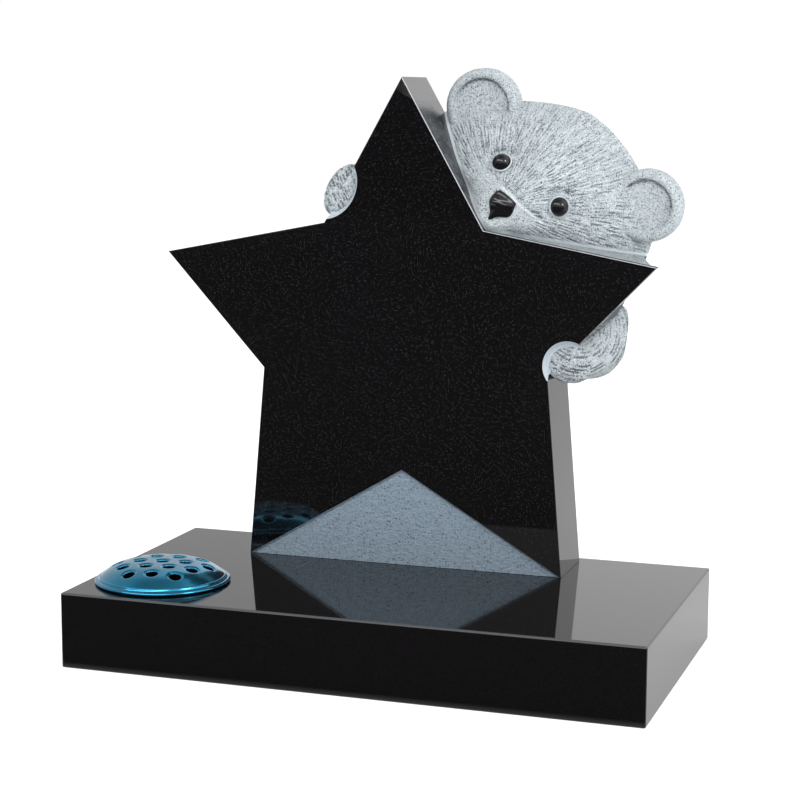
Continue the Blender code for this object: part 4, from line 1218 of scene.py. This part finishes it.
class HeadstoneStage(bpy.types.PropertyGroup):
    """The floor and the lights."""
    floor_size: length_setting("Floor size", "Side of the floor", 14.0)
    floor_colour: vector_setting("Floor", "Colour of the floor", (0.86, 0.86, 0.86))
    floor_glow: number_setting("Floor glow", "Light that the floor gives by itself", 0.35)
    floor_mirror: number_setting("Floor mirror", "Strength of the floor's mirror image behind the slab", 0.72)
    key_power: number_setting("Key light", "Power of the light over the camera", 45.0, unit="POWER")
    side_power: number_setting("Side light", "Power of the light at the right", 26.0, unit="POWER")
    room: number_setting("Room light", "Strength of the light from the room", 1.0, subtype="FACTOR")
    room_front: number_setting("Room light, front", "How bright the room is in front", 0.85)
    room_right: number_setting("Room light, right", "How much brighter the room is at the right", 1.5)
    room_left: number_setting("Room light, left", "How bright the room is at the left", 0.74)
    room_over: number_setting("Room light, over", "How bright the room is overhead", 0.35)


def stone_finishes(look):
    """The granite's materials by use."""
    light, dark, grain = look.carved_light, look.carved_dark, look.grain_scale
    return {
        "polished": granite_material("polished_granite_finish", 880.0, look.polish, look.fleck),
        "rubbed": carved_material("rubbed_granite", look.rubbed, light, grain, 0.2, 0.0001),
        "gloss": gloss_material("eye_polish", (0.004, 0.004, 0.005)),
        "carved": carved_material("carved_granite", light, dark, grain, 0.9, 0.0005),
        "panel": carved_material(
            "frosted_panel", look.panel_light, look.panel_dark, 400.0, 0.8, 0.0003, PANEL_STREAKS),
        "wall": sawn_material("sawn_granite", look.wall_light, look.wall_dark),
        "tip": carved_material("pecked_tip", look.wall_light, look.wall_dark, 620.0, 0.8, 0.0005),
        "ledge": carved_material(
            "pecked_ledge", look.ledge_light, look.wall_dark, 620.0, 0.8, 0.0005, LEDGE_STREAKS, edge=True),
        "arris": ground_material("ground_arris", look.arris_colour),
    }


# Operators

class HEADSTONE_OT_star(bpy.types.Operator):
    """Builds the polished star with its frosted triangle and its bays"""
    bl_idname = "headstone.star"
    bl_label = "Star"

    def execute(self, context):
        look = context.scene.headstone_stone
        stone = stone_finishes(look)
        mesh = cut_star(look, stone)
        finish_walls(mesh, look, stone)
        finished_piece(mesh, (), 30)
        return {"FINISHED"}


class HEADSTONE_OT_bear(bpy.types.Operator):
    """Builds the bear's head, ears, eyes and nose"""
    bl_idname = "headstone.bear"
    bl_label = "Bear's head"

    def execute(self, context):
        look = context.scene.headstone_stone
        stone = stone_finishes(look)
        carve_head(look, stone)
        for name, (place, size) in EARS.items():
            carve_ear(name, place, size, stone)
        for name, centre in eye_centres().items():
            polish_eye(name, centre, stone)
            carve_eyelid(name.replace("eye", "eyelid"), EYES[name], stone)
        polish_nose(stone)
        return {"FINISHED"}


class HEADSTONE_OT_paws(bpy.types.Operator):
    """Builds the bear's arm and its left paw"""
    bl_idname = "headstone.paws"
    bl_label = "Bear's paws"

    def execute(self, context):
        look = context.scene.headstone_stone
        stone = stone_finishes(look)
        carve_limb("bear_arm", (PAW_X, PAW_Z), *arm_outlines(), ARM_FLARE, arm_pattern, look, stone)
        paw = left_paw_outline()
        carve_limb("bear_left_paw", (LEFT_PAW_X, LEFT_PAW_Z), paw, paw, 1.0, left_paw_pattern, look, stone)
        return {"FINISHED"}


class HEADSTONE_OT_slab(bpy.types.Operator):
    """Polishes the slab"""
    bl_idname = "headstone.slab"
    bl_label = "Slab"

    def execute(self, context):
        look = context.scene.headstone_stone
        edge = [c * 0.12 for c in look.arris_colour]
        fleck = [c * 0.15 for c in look.fleck]
        finish = granite_material("slab_granite_finish", 600.0, look.polish, fleck, edge)
        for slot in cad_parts["base"].material_slots:
            slot.material = finish
        return {"FINISHED"}


class HEADSTONE_OT_lid(bpy.types.Operator):
    """Spins the flower holder's lid"""
    bl_idname = "headstone.lid"
    bl_label = "Flower holder's lid"

    def execute(self, context):
        look = context.scene.headstone_lid
        mesh, finish = spin_lid(look), lid_material(look.dye, look.roughness)
        finished_piece(mesh, (finish,), 40, "flower_holder_lid")
        return {"FINISHED"}


class HEADSTONE_OT_stage(bpy.types.Operator):
    """Adds the floor, the lights and the camera"""
    bl_idname = "headstone.stage"
    bl_label = "Stage"

    def execute(self, context):
        look = context.scene.headstone_stage
        make_floor(look)
        make_lights(look)
        make_camera()
        return {"FINISHED"}


def make_floor(look):
    """A pale floor, lit enough to read as white. Its mirror image in the polished stone is dim in
    front of the slab, as in a studio with a dark side, so that the star's face stays black."""
    half = look.floor_size / 2
    corners = [(-half, -half, 0), (half, -half, 0), (half, half, 0), (-half, half, 0)]
    mesh = bpy.data.meshes.new("floor")
    mesh.from_pydata(corners, [], [(0, 1, 2, 3)])
    floor = placed("floor", mesh)
    levels = {"Emission Color": (1.0, 1.0, 1.0, 1.0), "Roughness": 0.9, "Specular IOR Level": 0.1}
    material, make, shader = start_material("floor_finish", levels)
    path = make.add("LightPath")
    place = make.parts(make.place())
    ahead = make.remap(place["Y"], SLAB_LOW.y, SLAB_LOW.y - 0.02, 1.0 - look.floor_mirror, 0.97)
    lit = make.minus(1.0, make.times(ahead, path.outputs["Is Glossy Ray"]))
    make.link(make.blend(lit, (0.0, 0.0, 0.0), look.floor_colour), shader.inputs["Base Color"])
    make.link(make.times(lit, look.floor_glow), shader.inputs["Emission Strength"])
    mesh.materials.append(material)


def make_lights(look):
    """A long soft box over the camera, a small one at the right, and a room whose level changes
    with direction: dark low in front, dimmer at the left and overhead, brightest at the right.
    Rays straight from the camera find it white."""
    scene = bpy.context.scene
    boxes = (
        ("key_light", look.key_power, (-0.5, -2.0, 2.3), 4.0, 0.6),
        ("side_light", look.side_power, (2.25, -0.9, 1.8), 0.7, 0.7),
    )
    for name, power, place, width, height in boxes:
        data = bpy.data.lights.new(name, "AREA")
        data.shape = "RECTANGLE"
        data.energy, data.size, data.size_y = power, width, height
        lamp = placed(name, data)
        lamp.location = place
        lamp.rotation_euler = (Vector((0.0, 0.0, 0.25)) - Vector(place)).to_track_quat("-Z", "Y").to_euler()
    world = bpy.data.worlds.new("room")
    world.use_nodes = True
    scene.world = world
    make = Nodes(world.node_tree)
    background = world.node_tree.nodes["Background"]
    way = make.parts(make.add("TexCoord").outputs["Generated"])
    ahead = make.remap(way["Z"], 0.02, 0.20, 0.04, look.room_front)
    lean = make.minus(way["Y"], make.times(way["Z"], 0.35))
    behind = make.remap(lean, -0.75, -0.25)
    behind = make.plus(make.times(behind, make.minus(1.0, ahead)), ahead)
    right = make.remap(way["X"], -0.35, 0.30, 0.97, look.room_right)
    left = make.remap(way["X"], -0.39, -0.24, look.room_left, 1.0)
    over = make.remap(way["Z"], 0.80, 0.95, 1.0, look.room_over)
    level = make.times(make.times(behind, make.times(right, left)), over)
    seen = make.add("LightPath").outputs["Is Camera Ray"]
    level = make.times(make.math("MAXIMUM", level, seen), look.room)
    make.link(level, background.inputs["Strength"])
    background.inputs["Color"].default_value = (1.0, 1.0, 1.0, 1.0)
    scene.view_settings.view_transform = "Standard"


def make_camera():
    """The camera that took in the stone."""
    data = bpy.data.cameras.new("camera")
    data.lens, data.sensor_width = CAMERA_LENS, 36.0
    camera = placed("camera", data)
    camera.location = CAMERA_PLACE
    turned = (Matrix.Rotation(CAMERA_TURN, 4, "Z") @ Matrix.Rotation(math.pi / 2 - CAMERA_DIP, 4, "X")
              @ Matrix.Rotation(CAMERA_ROLL, 4, "Z"))
    camera.rotation_euler = turned.to_euler()
    bpy.context.scene.camera = camera


class HEADSTONE_PT_sidebar(bpy.types.Panel):
    """Lists the headstone's pieces and their settings"""
    bl_idname = "HEADSTONE_PT_sidebar"
    bl_label = "Headstone"
    bl_space_type = "VIEW_3D"
    bl_region_type = "UI"
    bl_category = "Headstone"

    def draw(self, context):
        for name, steps in PANEL_ROWS:
            box = self.layout.box()
            settings = getattr(context.scene, name)
            for key in settings.__annotations__:
                box.prop(settings, key)
            for step in steps:
                box.operator(step.bl_idname)


PANEL_ROWS = (
    ("headstone_stone", (HEADSTONE_OT_slab, HEADSTONE_OT_star, HEADSTONE_OT_bear, HEADSTONE_OT_paws)),
    ("headstone_lid", (HEADSTONE_OT_lid,)),
    ("headstone_stage", (HEADSTONE_OT_stage,)),
)
SETTINGS = {
    "headstone_stone": HeadstoneStone, "headstone_lid": HeadstoneLid, "headstone_stage": HeadstoneStage,
}
OPERATORS = tuple(step for _, steps in PANEL_ROWS for step in steps)


def register():
    """Registers the settings, the operators and the panel."""
    for name, group in SETTINGS.items():
        bpy.utils.register_class(group)
        setattr(bpy.types.Scene, name, PointerProperty(type=group))
    for cls in (*OPERATORS, HEADSTONE_PT_sidebar):
        bpy.utils.register_class(cls)


def unregister():
    """Removes what register added."""
    for cls in (HEADSTONE_PT_sidebar, *reversed(OPERATORS)):
        bpy.utils.unregister_class(cls)
    for name, group in reversed(SETTINGS.items()):
        delattr(bpy.types.Scene, name)
        bpy.utils.unregister_class(group)


def main():
    """Builds every piece in order."""
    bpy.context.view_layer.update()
    register()
    for step in (bpy.ops.headstone.slab, bpy.ops.headstone.star, bpy.ops.headstone.bear,
                 bpy.ops.headstone.paws, bpy.ops.headstone.lid, bpy.ops.headstone.stage):
        step()
    bpy.context.view_layer.update()


if __name__ == "__main__":
    main()
